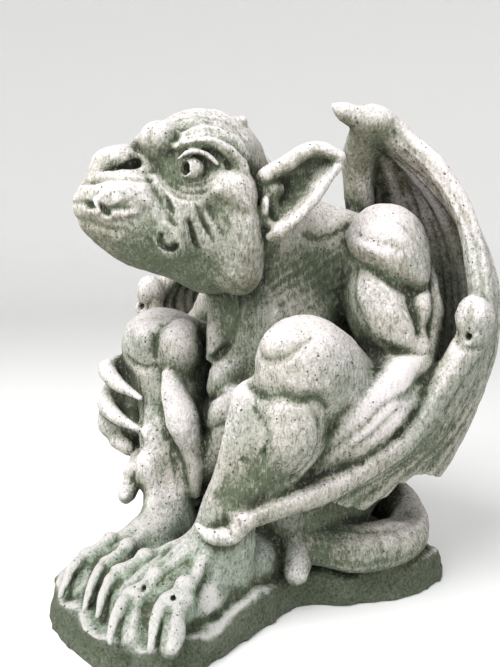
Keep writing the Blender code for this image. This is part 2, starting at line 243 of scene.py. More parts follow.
HOOK = (
    (52, 38, -36, 1.6), (50, 40, -42, 2.8), (46, 42, -49, 3.4), (40, 44, -52.5, 3.4), (35, 46, -50, 3.2),
    (33.5, 47, -43, 3), (35.5, 47, -36, 2.8), (39.5, 45, -30, 2.4), (44, 43, -26, 1.8),
)
HOOK_HOLE = ((47, 39.5, -33.5), (47.5, 39, -38), (44.5, 40, -42), (40, 41, -43.5), (37.5, 42, -41))
CHEEK_CREASES = (
    ((28, 40.5, -23), (26, 41, -30), (24, 41, -37), (21, 40.5, -44)),
    ((22, 43, -15), (19, 42.5, -22), (15, 42.5, -29), (11, 43, -38)),
    ((6, 52, -5), (3, 50, -11), (0, 49, -18), (-4, 50, -25)),
    ((-5, 54, -8), (-7, 52, -15), (-9, 51, -23), (-11, 52, -31)),
)


# ---------------------------------------------------------------- lines


def smooth_line(knots, steps=5):
    """Points of the Catmull-Rom curve through the knots; every column is carried alike."""
    knots = np.array(knots, float)
    padded = np.vstack([2 * knots[0] - knots[1], knots, 2 * knots[-1] - knots[-2]])
    spans = len(knots) - 1
    at = np.linspace(0, spans, spans * steps + 1)
    span = np.minimum(at.astype(int), spans - 1)
    t = (at - span)[:, None]
    a, b, c, d = (padded[span + i] for i in range(4))
    return 0.5 * (2 * b + (c - a) * t + (2 * a - 5 * b + 4 * c - d) * t**2 + (3 * b - a - 3 * c + d) * t**3)


def resampled(knots, count):
    """The line redrawn as a number of points at even steps of length."""
    line = smooth_line([knot[:3] for knot in knots], 8)
    run = np.concatenate([[0], np.cumsum(np.linalg.norm(np.diff(line, axis=0), axis=1))])
    at = np.linspace(0, run[-1], count)
    return np.column_stack([np.interp(at, run, line[:, i]) for i in range(3)])


def mirrored(knots, side):
    """The same knots on the other side of the figure's middle."""
    return [(side * knot[0], *knot[1:]) for knot in knots]


def tapered(knots, width):
    """The same knots with one half width that narrows at the two ends."""
    knots = np.array(knots, float)[:, :3]
    taper = np.sin(np.linspace(0.16, 0.84, len(knots)) * math.pi) ** 0.5
    return np.column_stack([knots, width * taper])


# ---------------------------------------------------------------- clay


class Clay:
    """A grid of gaps to the skin: negative inside. Joins are smooth over a given blend."""

    def __init__(self, low, high, cell):
        self.cell = cell
        self.first = np.floor(np.array(low) / cell).astype(int)
        self.count = np.ceil(np.array(high) / cell).astype(int) - self.first + 1
        self.gap = np.full(self.count, FAR, np.float32)

    def window(self, low, high):
        """The part of the grid between two corners, with its coordinates as open arrays."""
        start = np.floor(np.array(low) / self.cell).astype(int) - self.first
        stop = np.ceil(np.array(high) / self.cell).astype(int) - self.first + 1
        start = np.clip(start, 0, self.count)
        stop = np.clip(stop, start, self.count)
        part = tuple(slice(int(a), int(b)) for a, b in zip(start, stop))
        along = [
            ((self.first[i] + np.arange(start[i], stop[i])) * self.cell).astype(np.float32)
            for i in range(3)
        ]
        return part, np.meshgrid(*along, indexing="ij", sparse=True)

    def add(self, part, gap, blend):
        """Union with a rounded join: where both gaps are within blend, the lower one sinks."""
        old = self.gap[part]
        near = np.maximum(blend - np.abs(old - gap), 0) / blend
        self.gap[part] = np.minimum(old, gap) - near**2 * blend / 4

    def cut(self, part, gap, blend):
        """Subtraction with a rounded lip."""
        old = self.gap[part]
        near = np.maximum(blend - np.abs(old + gap), 0) / blend
        self.gap[part] = np.maximum(old, -gap) + near**2 * blend / 4

    def ball_gap(self, centre, half_sizes, axes, margin):
        """Gap to an ellipsoid: v * (v - 1) / slope, where v is the length of (place / half sizes)."""
        centre = np.array(centre, float)
        half_sizes = np.broadcast_to(np.array(half_sizes, float), 3)
        reach = np.abs(axes) @ half_sizes + margin
        part, grids = self.window(centre - reach, centre + reach)
        x, y, z = (grid - centre[i] for i, grid in enumerate(grids))
        value = slope = 0.0
        for i in range(3):
            along = (x * axes[0, i] + y * axes[1, i] + z * axes[2, i]) / half_sizes[i]
            value = value + along**2
            slope = slope + (along / half_sizes[i]) ** 2
        value, slope = np.sqrt(value), np.sqrt(slope)
        return part, (value * (value - 1) / np.maximum(slope, 1e-6)).astype(np.float32)

    def spans(self, line, reach):
        """For each short span of a line: its window, and each cell's distance and the radius there."""
        for a, b in zip(line, line[1:]):
            low, high = np.minimum(a, b)[:3] - reach, np.maximum(a, b)[:3] + reach
            part, grids = self.window(low, high)
            along = b[:3] - a[:3]
            x, y, z = (grid - a[i] for i, grid in enumerate(grids))
            share = (x * along[0] + y * along[1] + z * along[2]) / max(along @ along, 1e-9)
            share = np.clip(share, 0, 1)
            distance = np.sqrt(
                (x - share * along[0]) ** 2 + (y - share * along[1]) ** 2 + (z - share * along[2]) ** 2
            )
            yield part, distance, a[3] + share * (b[3] - a[3])

    def swept(self, line, reach, empty, measure, keep):
        """A field over the window round a line: what measure gives at each span, least or most kept."""
        whole, _ = self.window(line[:, :3].min(0) - reach, line[:, :3].max(0) + reach)
        start = [s.start for s in whole]
        field = np.full([s.stop - s.start for s in whole], empty, np.float32)
        for part, distance, radius in self.spans(line, reach):
            local = tuple(slice(s.start - o, s.stop - o) for s, o in zip(part, start))
            field[local] = keep(field[local], measure(distance, radius))
        return whole, field

    def line_gap(self, knots, margin):
        """Gap to a limb: distance to the line through the knots less its radius there."""
        line = smooth_line(knots)
        return self.swept(line, line[:, 3].max() + margin, FAR, np.subtract, np.minimum)

    def skin(self, points, quads, blend):
        """Adds a closed thin shape given by its faces."""
        width = (blend + 3) / self.cell + 1
        transform = openvdb.createLinearTransform(voxelSize=self.cell)
        grid = openvdb.FloatGrid.createLevelSetFromPolygons(
            np.ascontiguousarray(points, np.float32),
            quads=np.ascontiguousarray(quads, np.uint32),
            transform=transform,
            halfWidth=float(width),
        )
        part, _ = self.window(points.min(0) - blend - 4, points.max(0) + blend + 4)
        gap = np.zeros([s.stop - s.start for s in part], np.float32)
        corner = tuple(int(self.first[i] + part[i].start) for i in range(3))
        grid.copyToArray(gap, ijk=corner)
        self.add(part, gap, blend)

    def gap_at(self, points):
        """The gap at any points: the eight cells around each, weighed."""
        place = points / self.cell - self.first
        corner = np.clip(np.floor(place).astype(int), 0, self.count - 2)
        share = place - corner
        total = 0.0
        for i in range(8):
            step = np.array((i & 1, i >> 1 & 1, i >> 2 & 1))
            weight = np.prod(np.where(step, share, 1 - share), axis=1)
            total = total + weight * self.gap[tuple((corner + step).T)]
        return total

    def settle(self, points, rounds=4):
        """Moves points straight onto the skin, along the gap's slope."""
        for _ in range(rounds):
            steps = self.cell * np.eye(3)
            slope = np.stack([self.gap_at(points + s) - self.gap_at(points - s) for s in steps], 1)
            slope /= np.maximum(np.linalg.norm(slope, axis=1, keepdims=True), 1e-6)
            points = points - slope * np.clip(self.gap_at(points), -6, 6)[:, None]
        return points

    def stroke(self, knots, depth):
        """Carves a rounded groove, or with a negative depth raises a ridge, along the skin.

        Depth here = depth * exp(-(distance / half width)^2) * half width / the widest. The knots'
        fourth number is the half width.
        """
        line = smooth_line(knots)
        line[:, 3] = np.maximum(line[:, 3], THINNEST_STROKE)
        line[:, :3] = self.settle(line[:, :3])
        widest = line[:, 3].max()

        def bite(distance, width):
            return abs(depth) * width / widest * np.exp(-((distance / width) ** 2))

        whole, carved = self.swept(line, STROKE_REACH * widest, 0.0, bite, np.maximum)
        self.gap[whole] += math.copysign(1, depth) * carved

    def strokes(self, first, last, count, width, depth, wander, rng):
        """A family of strokes between two lines, each wandering a little and fading at both ends."""
        first, last = np.array(first, float), np.array(last, float)
        fade = np.sin(np.linspace(0.12, 0.88, len(first)) * math.pi)
        for share in np.linspace(0, 1, count):
            line = first + (last - first) * share + rng.normal(0, wander, first.shape)
            self.stroke(np.column_stack([line, width * fade]), depth * rng.uniform(0.6, 1.1))


def slab(rows, wall):
    """Points and faces of a closed slab over a grid of points: half the wall lies on each side."""
    grid = np.array(rows, float)
    normal = np.cross(np.gradient(grid, axis=0), np.gradient(grid, axis=1))
    normal /= np.maximum(np.linalg.norm(normal, axis=2, keepdims=True), 1e-6)
    half = np.broadcast_to(np.asarray(wall, float), grid.shape[:2])[:, :, None] / 2
    index = np.arange(grid.shape[0] * grid.shape[1]).reshape(grid.shape[:2])
    quads = np.stack([index[:-1, :-1], index[1:, :-1], index[1:, 1:], index[:-1, 1:]], -1)
    quads = quads.reshape(-1, 4)
    border = np.concatenate([index[:, 0], index[-1, 1:], index[-2::-1, -1], index[0, -2:0:-1]])
    beyond = np.roll(border, -1)
    top = index.size
    rim = np.stack([border, beyond, beyond + top, border + top], -1)
    points = np.concatenate([(grid - normal * half).reshape(-1, 3), (grid + normal * half).reshape(-1, 3)])
    return points, np.concatenate([quads[:, ::-1], quads + top, rim])


class Carver:
    """Works on the clay in a frame of its own, mirrored on the right side of the figure.

    Each tool takes its blend or its depth and half width first, and then the knots of its line.
    """

    def __init__(self, clay, side=LEFT, middle=(0, 0, 0), axes=None, across=0):
        flip = np.ones(3)
        flip[across] = side
        self.clay = clay
        self.middle = np.array(middle, float)
        self.axes = (np.eye(3) if axes is None else axes) * flip

    def placed(self, knots):
        """Knots moved to the figure's frame; what stands after the third number stays."""
        knots = np.atleast_2d(np.array(knots, float))
        return np.hstack([self.middle + knots[:, :3] @ self.axes.T, knots[:, 3:]])

    def ball(self, centre, half_sizes, blend, join=Clay.add):
        """Lays an ellipsoid on the clay."""
        gap = self.clay.ball_gap(self.placed(centre)[0], half_sizes, self.axes, 2 * blend + 6)
        join(self.clay, *gap, blend)

    def hollow(self, centre, half_sizes, blend):
        self.ball(centre, half_sizes, blend, Clay.cut)

    def limb(self, blend, *knots, join=Clay.add):
        """Lays a round bar along the knots, whose fourth number is its radius."""
        join(self.clay, *self.clay.line_gap(self.placed(knots), 2 * blend + 4), blend)

    def drill(self, blend, *knots):
        self.limb(blend, *knots, join=Clay.cut)

    def groove(self, depth, *knots):
        self.clay.stroke(self.placed(knots), depth)

    def ridge(self, height, *knots):
        self.groove(-height, *knots)

    def crease(self, depth, width, *knots):
        """A groove of one half width, tapered at its two ends."""
        self.groove(depth, *tapered(knots, width))

    def welt(self, height, width, *knots):
        """A ridge of one half width, tapered at its two ends."""
        self.crease(-height, width, *knots)

    def strands(self, first, last, count, width, depth, wander, rng):
        self.clay.strokes(self.placed(first), self.placed(last), count, width, depth, wander, rng)


def head_side(clay, side):
    """A carver that works ahead, aside and up from the middle of the head."""
    return Carver(clay, side, HEAD_MIDDLE, HEAD_AXES, across=1)


# ---------------------------------------------------------------- body and limbs


def lay_trunk(clay):
    """Belly, chest and neck: overlapping ellipsoids and one thick bowed limb, softly joined."""
    body = Carver(clay)
    for centre, half_sizes in TRUNK:
        body.ball(centre, half_sizes, 14)
    body.limb(14, *NECK)


def lay_arms(clay):
    """Shoulders and arms as limbs of changing thickness, with the three right fingers."""
    for side in BOTH:
        half = Carver(clay, side)
        half.limb(8, *TRAPEZIUS)
        half.ball(*SHOULDER, 5)
    body = Carver(clay)
    for limb in ARM_LIMBS:
        body.limb(5, *limb)
    for lump in RIGHT_PALM:
        body.ball(*lump, 6)
    for finger in RIGHT_FINGERS:
        body.limb(3, *finger)
    body.ball((-50, -86, 94), (13, 12, 18), 5)


def lay_legs(clay):
    """Thighs, shins, haunches and feet, with a web between each toe and the next."""
    body = Carver(clay)
    for limb in THIGHS:
        body.limb(12, *limb)
    for limb in SHINS:
        body.limb(7, *limb)
    for knee in KNEES:
        body.ball(*knee, 5)
    for side in BOTH:
        half = Carver(clay, side)
        half.ball(*HAUNCH, 8)
        half.ball(*HEEL, 6)
        half.ball(*INSTEP[side], 6)
        half.limb(6, *FOOT_TOP[side])
        toes = np.array(TOES[side], float)
        for knuckle, joint, claw in (toes[1:] + toes[:-1]) / 2:
            behind, under = knuckle + (0, 22, 2), knuckle + (0, 0, -5)
            ahead, tip = joint + (0, 3, -11), (joint + claw) / 2 + (0, 6, -12)
            half.limb(5, (*behind, 9), (*under, 9), (*ahead, 9), (*tip, 8))
        for toe in toes:
            lay_toe(half, ANKLE[side], *toe, TOE_SHIFT[side])


def lay_toe(half, ankle, knuckle, joint, claw, shift):
    """Thin tendon, round knuckle, a joint and a narrow claw that stands clear of the toe's pad."""
    half.limb(4, (*ankle, 7), (*(ankle + knuckle) / 2 + (0, 0, 2), 4), (*(knuckle + (0, 6, 2)), 4))
    half.ball(knuckle + (0, 0, 2), (7, 7, 7), 2)
    half.limb(3, (*knuckle, 5.5), (*(knuckle + joint) / 2 + (0, 0, 0.5), 5), (*joint, 6))
    half.ball(joint + (0, 2, -1), (7, 8, 8), 2.5)
    beside = np.array((shift, 0, 0))
    pad = (
        (*(knuckle + beside * 0.5 + (0, -4, -5)), 6),
        (*(joint + beside * 0.8 + (0, 2, -6)), 7.5),
        (*(joint * 0.6 + claw * 0.4 + beside + (0, 4, -6)), 8),
        (*(joint * 0.35 + claw * 0.65 + beside + (0, 5, -9)), 6.5),
    )
    half.limb(3, *pad)
    root = joint + (claw - joint) * 0.25 + (0, 0, 3.5) - beside * 0.2
    middle = joint + (claw - joint) * 0.65 + (0, 0, 3) - beside * 0.2
    half.limb(1, (*joint, 4.6), (*root, 4.4), (*middle, 3.8), (*claw, 2.2))
    half.ball((knuckle + joint) / 2 + (0, 0, -11), (9, 18, 12), 5)


def lay_tail(clay):
    """One limb that tapers along the tail's curl."""
    Carver(clay).limb(5, *TAIL)


def lay_rock(clay, rng, height=28, inset=2.5, lean=0.09, edge=7.0):
    """Low block: distance to a wavy outline, met by a lumpy top with a chipped, rounded edge.

    The wall leans in by lean * depth under the top and wanders by crags of three sizes. The top is
    a slow wave of X and Y. Where wall and top are within the edge of each other they are rounded.
    """
    outline = resampled([(*point, 0) for point in ROCK_OUTLINE + ROCK_OUTLINE[:1]], 140)[:-1, :2]
    part, (x, y, z) = clay.window((-125, -205, -12), (135, 145, 48))
    shape = np.broadcast_shapes(x.shape, y.shape, z.shape)
    plan_x, plan_y = (np.broadcast_to(grid, shape)[:, :, 0] for grid in (x, y))
    nearest = np.full(plan_x.shape, 1e9)
    inside = np.zeros(plan_x.shape, bool)
    for a, b in zip(outline, np.roll(outline, -1, 0)):
        run = b - a
        share = ((plan_x - a[0]) * run[0] + (plan_y - a[1]) * run[1]) / (run @ run)
        share = np.clip(share, 0, 1)
        off = np.hypot(plan_x - a[0] - share * run[0], plan_y - a[1] - share * run[1])
        nearest = np.minimum(nearest, off)
        beside = (a[1] > plan_y) != (b[1] > plan_y)
        crossing = run[0] * (plan_y - a[1]) / (run[1] + 1e-12) + a[0]
        inside ^= beside & (plan_x < crossing)
    crags = 0.0
    for spacing, depth in ((26, 2.2), (13, 1.3), (7, 0.6)):
        lattice = rng.normal(0, depth, [int(n * clay.cell / spacing) + 2 for n in shape])
        crags = crags + swell(lattice.astype(np.float32), shape)
    wall = np.where(inside, -nearest, nearest)[:, :, None] + inset + crags - lean * (height - z)
    top = z - (height - 1) - 0.8 * crags[:, :, -1:] - 1.5 * np.sin(x * 0.045 + 1) * np.cos(y * 0.05)
    near = np.maximum(edge - np.abs(wall - top), 0) / edge
    clay.add(part, (np.maximum(wall, top) + near**2 * edge / 4).astype(np.float32), 5)


# ---------------------------------------------------------------- wings


def wing_rows(side, along=5, across=32):
    """Grid of points over a wing: first index down the wing, second across from back to rim."""
    ribs = (BACK_EDGE, INNER_RIB, THIRD_RIB, SECOND_RIB, OUTER_RIB, WING_EDGE[side])
    lines = np.array([smooth_line(resampled(mirrored(rib, side), 15), along) for rib in ribs])
    return np.array([smooth_line(lines[:, i], across) for i in range(1, lines.shape[1])])


def lay_wing(clay, side, sag=3.5, wall=6.6, arch=11, ripple=0.7):
    """A folded wing: a skin that sags between its ribs, ridged along its length, on thick arms.

    Sag = depth * sin(pi * share between ribs)^2 * a slow bulge down the wing, deepest beside the
    rim. The hem is raised between the ribs by arch * sin(pi * share between ribs)^2 * (share of
    the way down)^7. The ridges are two waves of the share across, whose phases drift down the wing.
    """
    rows = wing_rows(side)
    down, over = rows.shape[:2]
    across = np.linspace(0, 5, over)[None, :]
    along = np.linspace(0, 1, down)[:, None]
    between = across - np.floor(np.minimum(across, 4.999))
    rows[..., 2] += arch * np.sin(math.pi * between) ** 2 * along**7
    normal = np.cross(np.gradient(rows, axis=0), np.gradient(rows, axis=1))
    normal /= np.maximum(np.linalg.norm(normal, axis=2, keepdims=True), 1e-6)
    deep = sag * np.where(across > 4, 1.7, 1.0)
    drop = np.sin(math.pi * between) ** 2 * deep * np.sin(math.pi * np.minimum(along, 1) * 0.9)
    waves = np.sin(across * 33 + 2.2 * np.sin(along * 7 + across * 2))
    waves = waves + 0.7 * np.sin(across * 19 + 3.1 * np.sin(along * 5 - across))
    shift = drop * side + ripple * waves
    points, quads = slab(rows - normal * shift[..., None], wall + 0.4 * waves)
    clay.skin(points, quads, 5)
    half = Carver(clay, side)
    for rib in (INNER_RIB, THIRD_RIB, SECOND_RIB, OUTER_RIB):
        thick = np.interp(np.linspace(0, 1, 14), (0, 0.1, 0.6, 1), (5, 5.6, 5.0, 4.2))
        half.limb(4, *np.column_stack([resampled(rib, 14), thick]))
    half.limb(6, *WING_ARM)
    half.limb(4, *WING_EDGE[side])
    half.ball((80, 33, 367), (13, 11, 10), 4)
    half.limb(3, *THUMB_CLAW)
    tip = np.array(WING_EDGE[side][-1][:3])
    half.ball(tip + (1, -2, 0), (10.5, 10.5, 10), 2)
    half.limb(1, *[(*(tip + step), radius) for *step, radius in WING_CLAW])


# ---------------------------------------------------------------- head


def lay_head(clay):
    """Skull, jaw and snout, then each feature on both sides."""
    middle = head_side(clay, LEFT)
    for centre, half_sizes in SKULL:
        middle.ball(centre, half_sizes, 8)
    middle.limb(7, *MUZZLE)
    middle.ball((72, 0, 19.5), (20, 21, 12.5), 4)
    middle.ball((83, 0, 10), (13, 16, 13), 5)
    middle.ball((62, 0, 22), (11, 17, 9), 7)
    for side in BOTH:
        face = head_side(clay, side)
        lay_cheek(face)
        lay_brow(face)
    for side in BOTH:
        face = head_side(clay, side)
        cut_eye(face)
        carve_nose(face)
        carve_mouth(face)
        carve_cheek(face)
        carve_brow(face)
        lay_ear(clay, side)


def lay_cheek(face):
    """Snout side, jowl and cheekbone as balls, and the jaw as a limb down behind them."""
    face.ball((66, 18, -7), (27, 21, 18), 5)
    face.ball((36, 34, -38), (14, 9, 14), 6)
    face.ball((-3, 40, -3), (18, 14, 15), 6)
    face.limb(8, (-8, 40, -14, 13), (-12, 37, -35, 14), (-8, 28, -54, 17))
    face.ball((-11, 20, -55), (18, 20, 22), 7)


def lay_brow(face):
    """Knot between the eyes, two long folds over the eye and a bump on the crown."""
    face.ball((45, 21, 32), (15, 18, 14), 7)
    face.limb(6, (57, 5, 31, 7), (50, 13, 33, 8.5))
    face.limb(
        5, (34, 38, 26, 3.5), (27, 42, 28.5, 4.5), (15, 44.5, 29.5, 5), (3, 45, 25, 5), (-6, 43.5, 18, 4.5),
        (-10, 43, 12, 4),
    )
    face.limb(
        6, (28, 37, 33, 4), (21, 37, 36, 5), (12, 37, 37, 5), (2, 38, 33, 5), (-7, 38, 27, 4),
        (-12, 38, 21, 3),
    )
    face.limb(3, (-11, 13, 43, 6), (-15, 15, 49, 4))


def cut_eye(face):
    """Ball standing out of a deep socket, wide drilled pupil, a thin upper lid, creases below."""
    face.hollow((26, 49, 12), (17, 11, 10.5), 4)
    face.hollow((39, 46, 11), (9, 7, 7), 6)
    face.ball((24, 37.5, 11.5), 8.6, 0.8)
    face.limb(1.2, *EYE_LID_ABOVE)
    face.crease(
        2, 1.7, (37, 39, 18), (33, 43, 23), (28, 46, 25.5), (20, 47.5, 26), (12, 47, 23.5), (5, 47, 18),
        (1, 47, 12),
    )
    face.crease(1.2, 1.4, (38, 38, 4), (32, 41, 0.5), (25, 43, -1), (18, 44, 0.5), (12, 45.5, 5))
    face.crease(1.3, 1.4, (41, 37, 2), (34, 41, -3), (26, 43, -5), (18, 45, -4), (11, 47, 0))
    face.crease(1.0, 1.5, (45, 35, 2), (39, 38, -4), (31, 42, -8.5), (22, 45, -9), (14, 47, -6))
    face.crease(0.6, 1.2, (44, 35, 8), (48, 34, 3), (50, 34, -2))
    face.drill(0.5, (27, 39, 11.5, 4.4), (34, 42.5, 11.5, 5.6))


def carve_nose(face):
    """Flaring nostril wing round a slanting slit, over the crease that parts it from the lip."""
    face.limb(2.5, *NOSTRIL_WING)
    face.drill(1, (84, 17, 10.5, 0.8), (77, 19, 12, 1.8), (69, 19, 14, 3), (61.5, 18, 15.7, 4))
    face.drill(1, (84, 24, 10.5, 0.8), (77, 27, 12.2, 1.8), (69, 28, 14, 3), (61.5, 28, 15.7, 4))
    face.crease(
        3.2, 1.9, (97, 5, 1), (92, 13, 1), (86, 20, 0.5), (78, 26, 0), (69, 29, 0), (61, 31, 1),
        (53, 31, 3),
    )
    face.crease(1.6, 2.4, (63, 2, 29), (59, 8, 28), (55, 13, 25))


def carve_mouth(face):
    """Short wavering mouth with a fang between ragged pits, and wrinkles over the lip."""
    face.crease(
        2.4, 1.5, (104, 0, -10.5), (99, 18, -11), (94, 24, -12.5), (88, 28, -14), (82, 31, -16),
        (75, 34, -15),
    )
    face.crease(1.0, 1.6, (82, 31, -16), (74, 34, -13), (66, 36, -9), (60, 36, -6))
    face.groove(4.5, (98, 18.5, -11, 1.2), (94.5, 22, -12.5, 2.1), (91, 25, -13, 1.3))
    face.groove(5, (87, 29, -14, 1.4), (84, 31, -17, 2.2), (81.5, 31.5, -20, 1.4))
    face.groove(2, (77, 33, -14.5, 1), (72, 34.5, -15, 1.7), (68, 35, -14.5, 1))
    face.drill(0.6, (99, 3, -11, 1), (106, 3.5, -11, 1.6))
    face.limb(1.2, (90, 25.5, -8, 2), (89.5, 27.5, -12, 1.8), (88, 28.5, -17, 1))
    face.crease(1.6, 1.5, (95, 23, -8), (90, 27, -6), (86, 29, -4), (83, 30, -1))
    face.crease(0.8, 1.6, (81, 31, -8), (76, 33, -6), (70, 35, -7))
    face.crease(0.7, 2.2, (78, 31, -1), (71, 34, -3), (64, 35, -6))
    face.welt(1.4, 2.6, (98, 19, -15), (90, 27, -19), (81, 33, -21), (72, 35, -20), (62, 36, -18))
    face.crease(1.3, 3, (101, 0, -20), (97, 12, -22), (88, 23, -27), (76, 30, -31))
    face.crease(0.9, 3.4, (92, 2, -33), (84, 16, -38), (72, 26, -42))


def carve_cheek(face):
    """Fold from nose to jaw that ends in a hooked curl, cheek creases and cheek ridge."""
    face.welt(
        2.2, 5, (52, 22, 14), (50, 28, 7), (46, 34, 0), (41, 38, -7), (33, 42, -11.5), (24, 44, -12.5),
        (15, 47, -8), (9, 50, -3),
    )
    face.crease(
        3.2, 1.7, (55, 31, 6), (52, 35, 0), (48, 37.5, -7), (44, 40.5, -14), (41, 42, -21), (38, 44, -26),
    )
    face.welt(1.4, 4, (60, 33, -1), (57, 36, -8), (53, 38, -15), (50, 40, -21), (47, 42, -27))
    face.ridge(3.6, *HOOK)
    hole = np.array(HOOK_HOLE)
    face.drill(1, *[(*point, 2.2) for point in hole])
    face.drill(1.5, *[(*point, 2.8) for point in hole + (0, 4, 0)])
    face.crease(1.2, 3, (56, 38, -37), (53, 38, -44), (49, 38, -51))
    creases = np.array(CHEEK_CREASES, float)
    for crease, width, depth in zip(creases, (1.6, 1.6, 1.5, 1.4), (3.2, 3.0, 1.5, 1.2)):
        face.crease(depth, width, *crease)
    for first, second in zip(creases, creases[1:]):
        for share in (0.33, 0.67):
            face.crease(0.9, 1.2, *(first + (second - first) * share + (0, 0.5, 3 - 6 * share)))
    face.drill(0.8, (28, 40, -23, 0.8), (26, 40, -30, 1.5), (24, 40, -37, 1.7), (21.5, 40, -43, 0.8))
    face.drill(
        0.8, (22, 42.5, -15, 0.8), (18.5, 41.7, -23, 1.4), (15, 41.7, -30, 1.4), (12, 42.5, -37, 0.7),
    )
    face.drill(0.8, (47, 36, -1, 0.8), (42.5, 38.5, -10, 1.9), (39.5, 39.5, -17, 1.8), (37.5, 41, -23, 0.8))
    face.crease(1.2, 1.4, (32, 43, -34), (30, 43, -41), (27, 39, -48))
    face.crease(1.8, 4.5, (14, 50, -8), (6, 52, -14), (-2, 52, -18), (-9, 51, -20))
    face.crease(2.6, 2.4, (-22, 44, 7), (-26, 43, -1), (-27, 44, -10), (-25, 44, -18), (-26, 36, -31))
    face.crease(1.4, 3.5, (24, 40, -50), (10, 38, -60), (-2, 36, -66), (-14, 30, -70))


def carve_brow(face):
    """Knotted frown, two long folds over the eye and fine furrows behind them."""
    face.crease(1.8, 1.9, (56, 15, 36), (57, 19, 31), (56, 21, 25))
    face.crease(2, 1.8, (45, 26, 40), (48, 29, 34), (50, 31, 27))
    face.crease(2.2, 1.7, (47, 32, 20.5), (43, 36, 19), (36, 41, 21.5), (30, 44, 25))
    face.crease(2, 1.6, (27, 42, 40), (30, 45, 34), (32, 45, 29), (34, 43, 25))
    face.crease(
        2, 1.8, (29, 45, 30), (21, 49, 33), (13, 49, 34.5), (5, 48.5, 31.5), (-2, 46, 26), (-9, 44, 19),
    )
    face.crease(1.3, 1.7, (28, 38, 38), (22, 38, 41.5), (12, 37, 41.5), (2, 37, 37.5), (-6, 38, 31))
    face.crease(0.8, 1.2, (24, 46, 27), (14, 48.5, 28), (5, 48.5, 24), (-2, 47, 18))
    face.crease(0.9, 1.8, (34, 24, 48), (22, 27, 50), (10, 29, 49), (-2, 31, 45), (-12, 33, 38))
    face.crease(0.8, 1.6, (41, 30, 42), (36, 33, 43), (31, 35, 42))
    face.crease(1.2, 2.4, (60, 0, 34), (52, 3, 40), (40, 6, 47))


def lay_ear(clay, side):
    """Long leaf-shaped ear: a dished sheet, a broad rolled top, a thin lower rim and two lobes."""
    face = head_side(clay, side)
    lines = [smooth_line(face.placed(line), 6) for line in EAR_LINES]
    rows = [smooth_line([line[i] for line in lines], 10) for i in range(len(lines[0]))]
    points, quads = slab(rows, 5.5)
    clay.skin(points, quads, 4)
    face.limb(5, *np.column_stack([EAR_LINES[0], (6, 5.8, 5.4, 4.6, 2.8)]))
    face.limb(2.5, *np.column_stack([EAR_LINES[-1], (4.2, 3, 2.4, 2.2, 2.4)]))
    face.limb(4, (-27, 38, 2, 6), (-30, 40, -12, 6), (-29, 42, -26, 5))
    face.ball((-36, 49, -30), (6.5, 5, 6.5), 3)
    face.ball((-25, 46, -14), (4, 5, 8), 3)
    face.hollow((-41, 49, -5), (6, 8, 8), 4)
    face.hollow((-31, 48, -15), (3.5, 6, 8), 3)
    face.ball((-33, 41, -1), (7, 6, 7), 3)
    face.crease(1.6, 1.6, (-25, 46, 0), (-31, 46, 6), (-38, 47, 10))
    face.crease(1.4, 3, (-46, 47, 8), (-56, 52, 14), (-66, 57, 17))
    face.crease(3, 3, (-28, 44, -28), (-30, 42, -36))


# ---------------------------------------------------------------- carving over the skin

DELTOID_EDGE = (
    (69, 11, 279), (76, 11, 268), (90, 12, 260), (101, 15, 252), (110, 21, 245), (116, 31, 242),
    (118, 43, 243), (118, 50, 250), (116, 54, 262),
)
NECK_STRANDS = (
    ((26, -42, 240), (39, -30, 252), (48, -14, 262), (60, 2, 274), (70, 14, 284)),
    ((44, -30, 218), (54, -14, 226), (60, -2, 232), (66, 6, 240), (74, 11, 250)),
)
BICEPS = (
    ((88, 8, 250), (98, 6, 236), (108, 6, 222), (118, 14, 208)),
    ((104, 18, 250), (114, 20, 238), (120, 22, 226), (126, 26, 212)),
)
FOREARM_TOP = ((128, 28, 192), (126, 2, 184), (118, -20, 166), (106, -38, 146), (92, -48, 128))
FOREARM_GROOVE = ((130, 22, 180), (124, -4, 170), (114, -24, 150), (100, -40, 132), (86, -46, 116))
FOREARM_LOW = ((131, 31, 174), (128, 6, 160), (117, -14, 140), (102, -32, 122), (84, -40, 106))
CALF = (
    ((92, -85, 142), (84, -90, 130), (74, -95, 118), (62, -100, 108)),
    ((110, -62, 150), (104, -66, 134), (92, -74, 118), (76, -84, 100)),
)
THIGH_SIDE = (
    ((112, -16, 200), (106, 12, 186), (96, 34, 160), (88, 52, 132)),
    ((112, -20, 158), (112, 8, 140), (104, 34, 118), (92, 54, 92)),
)


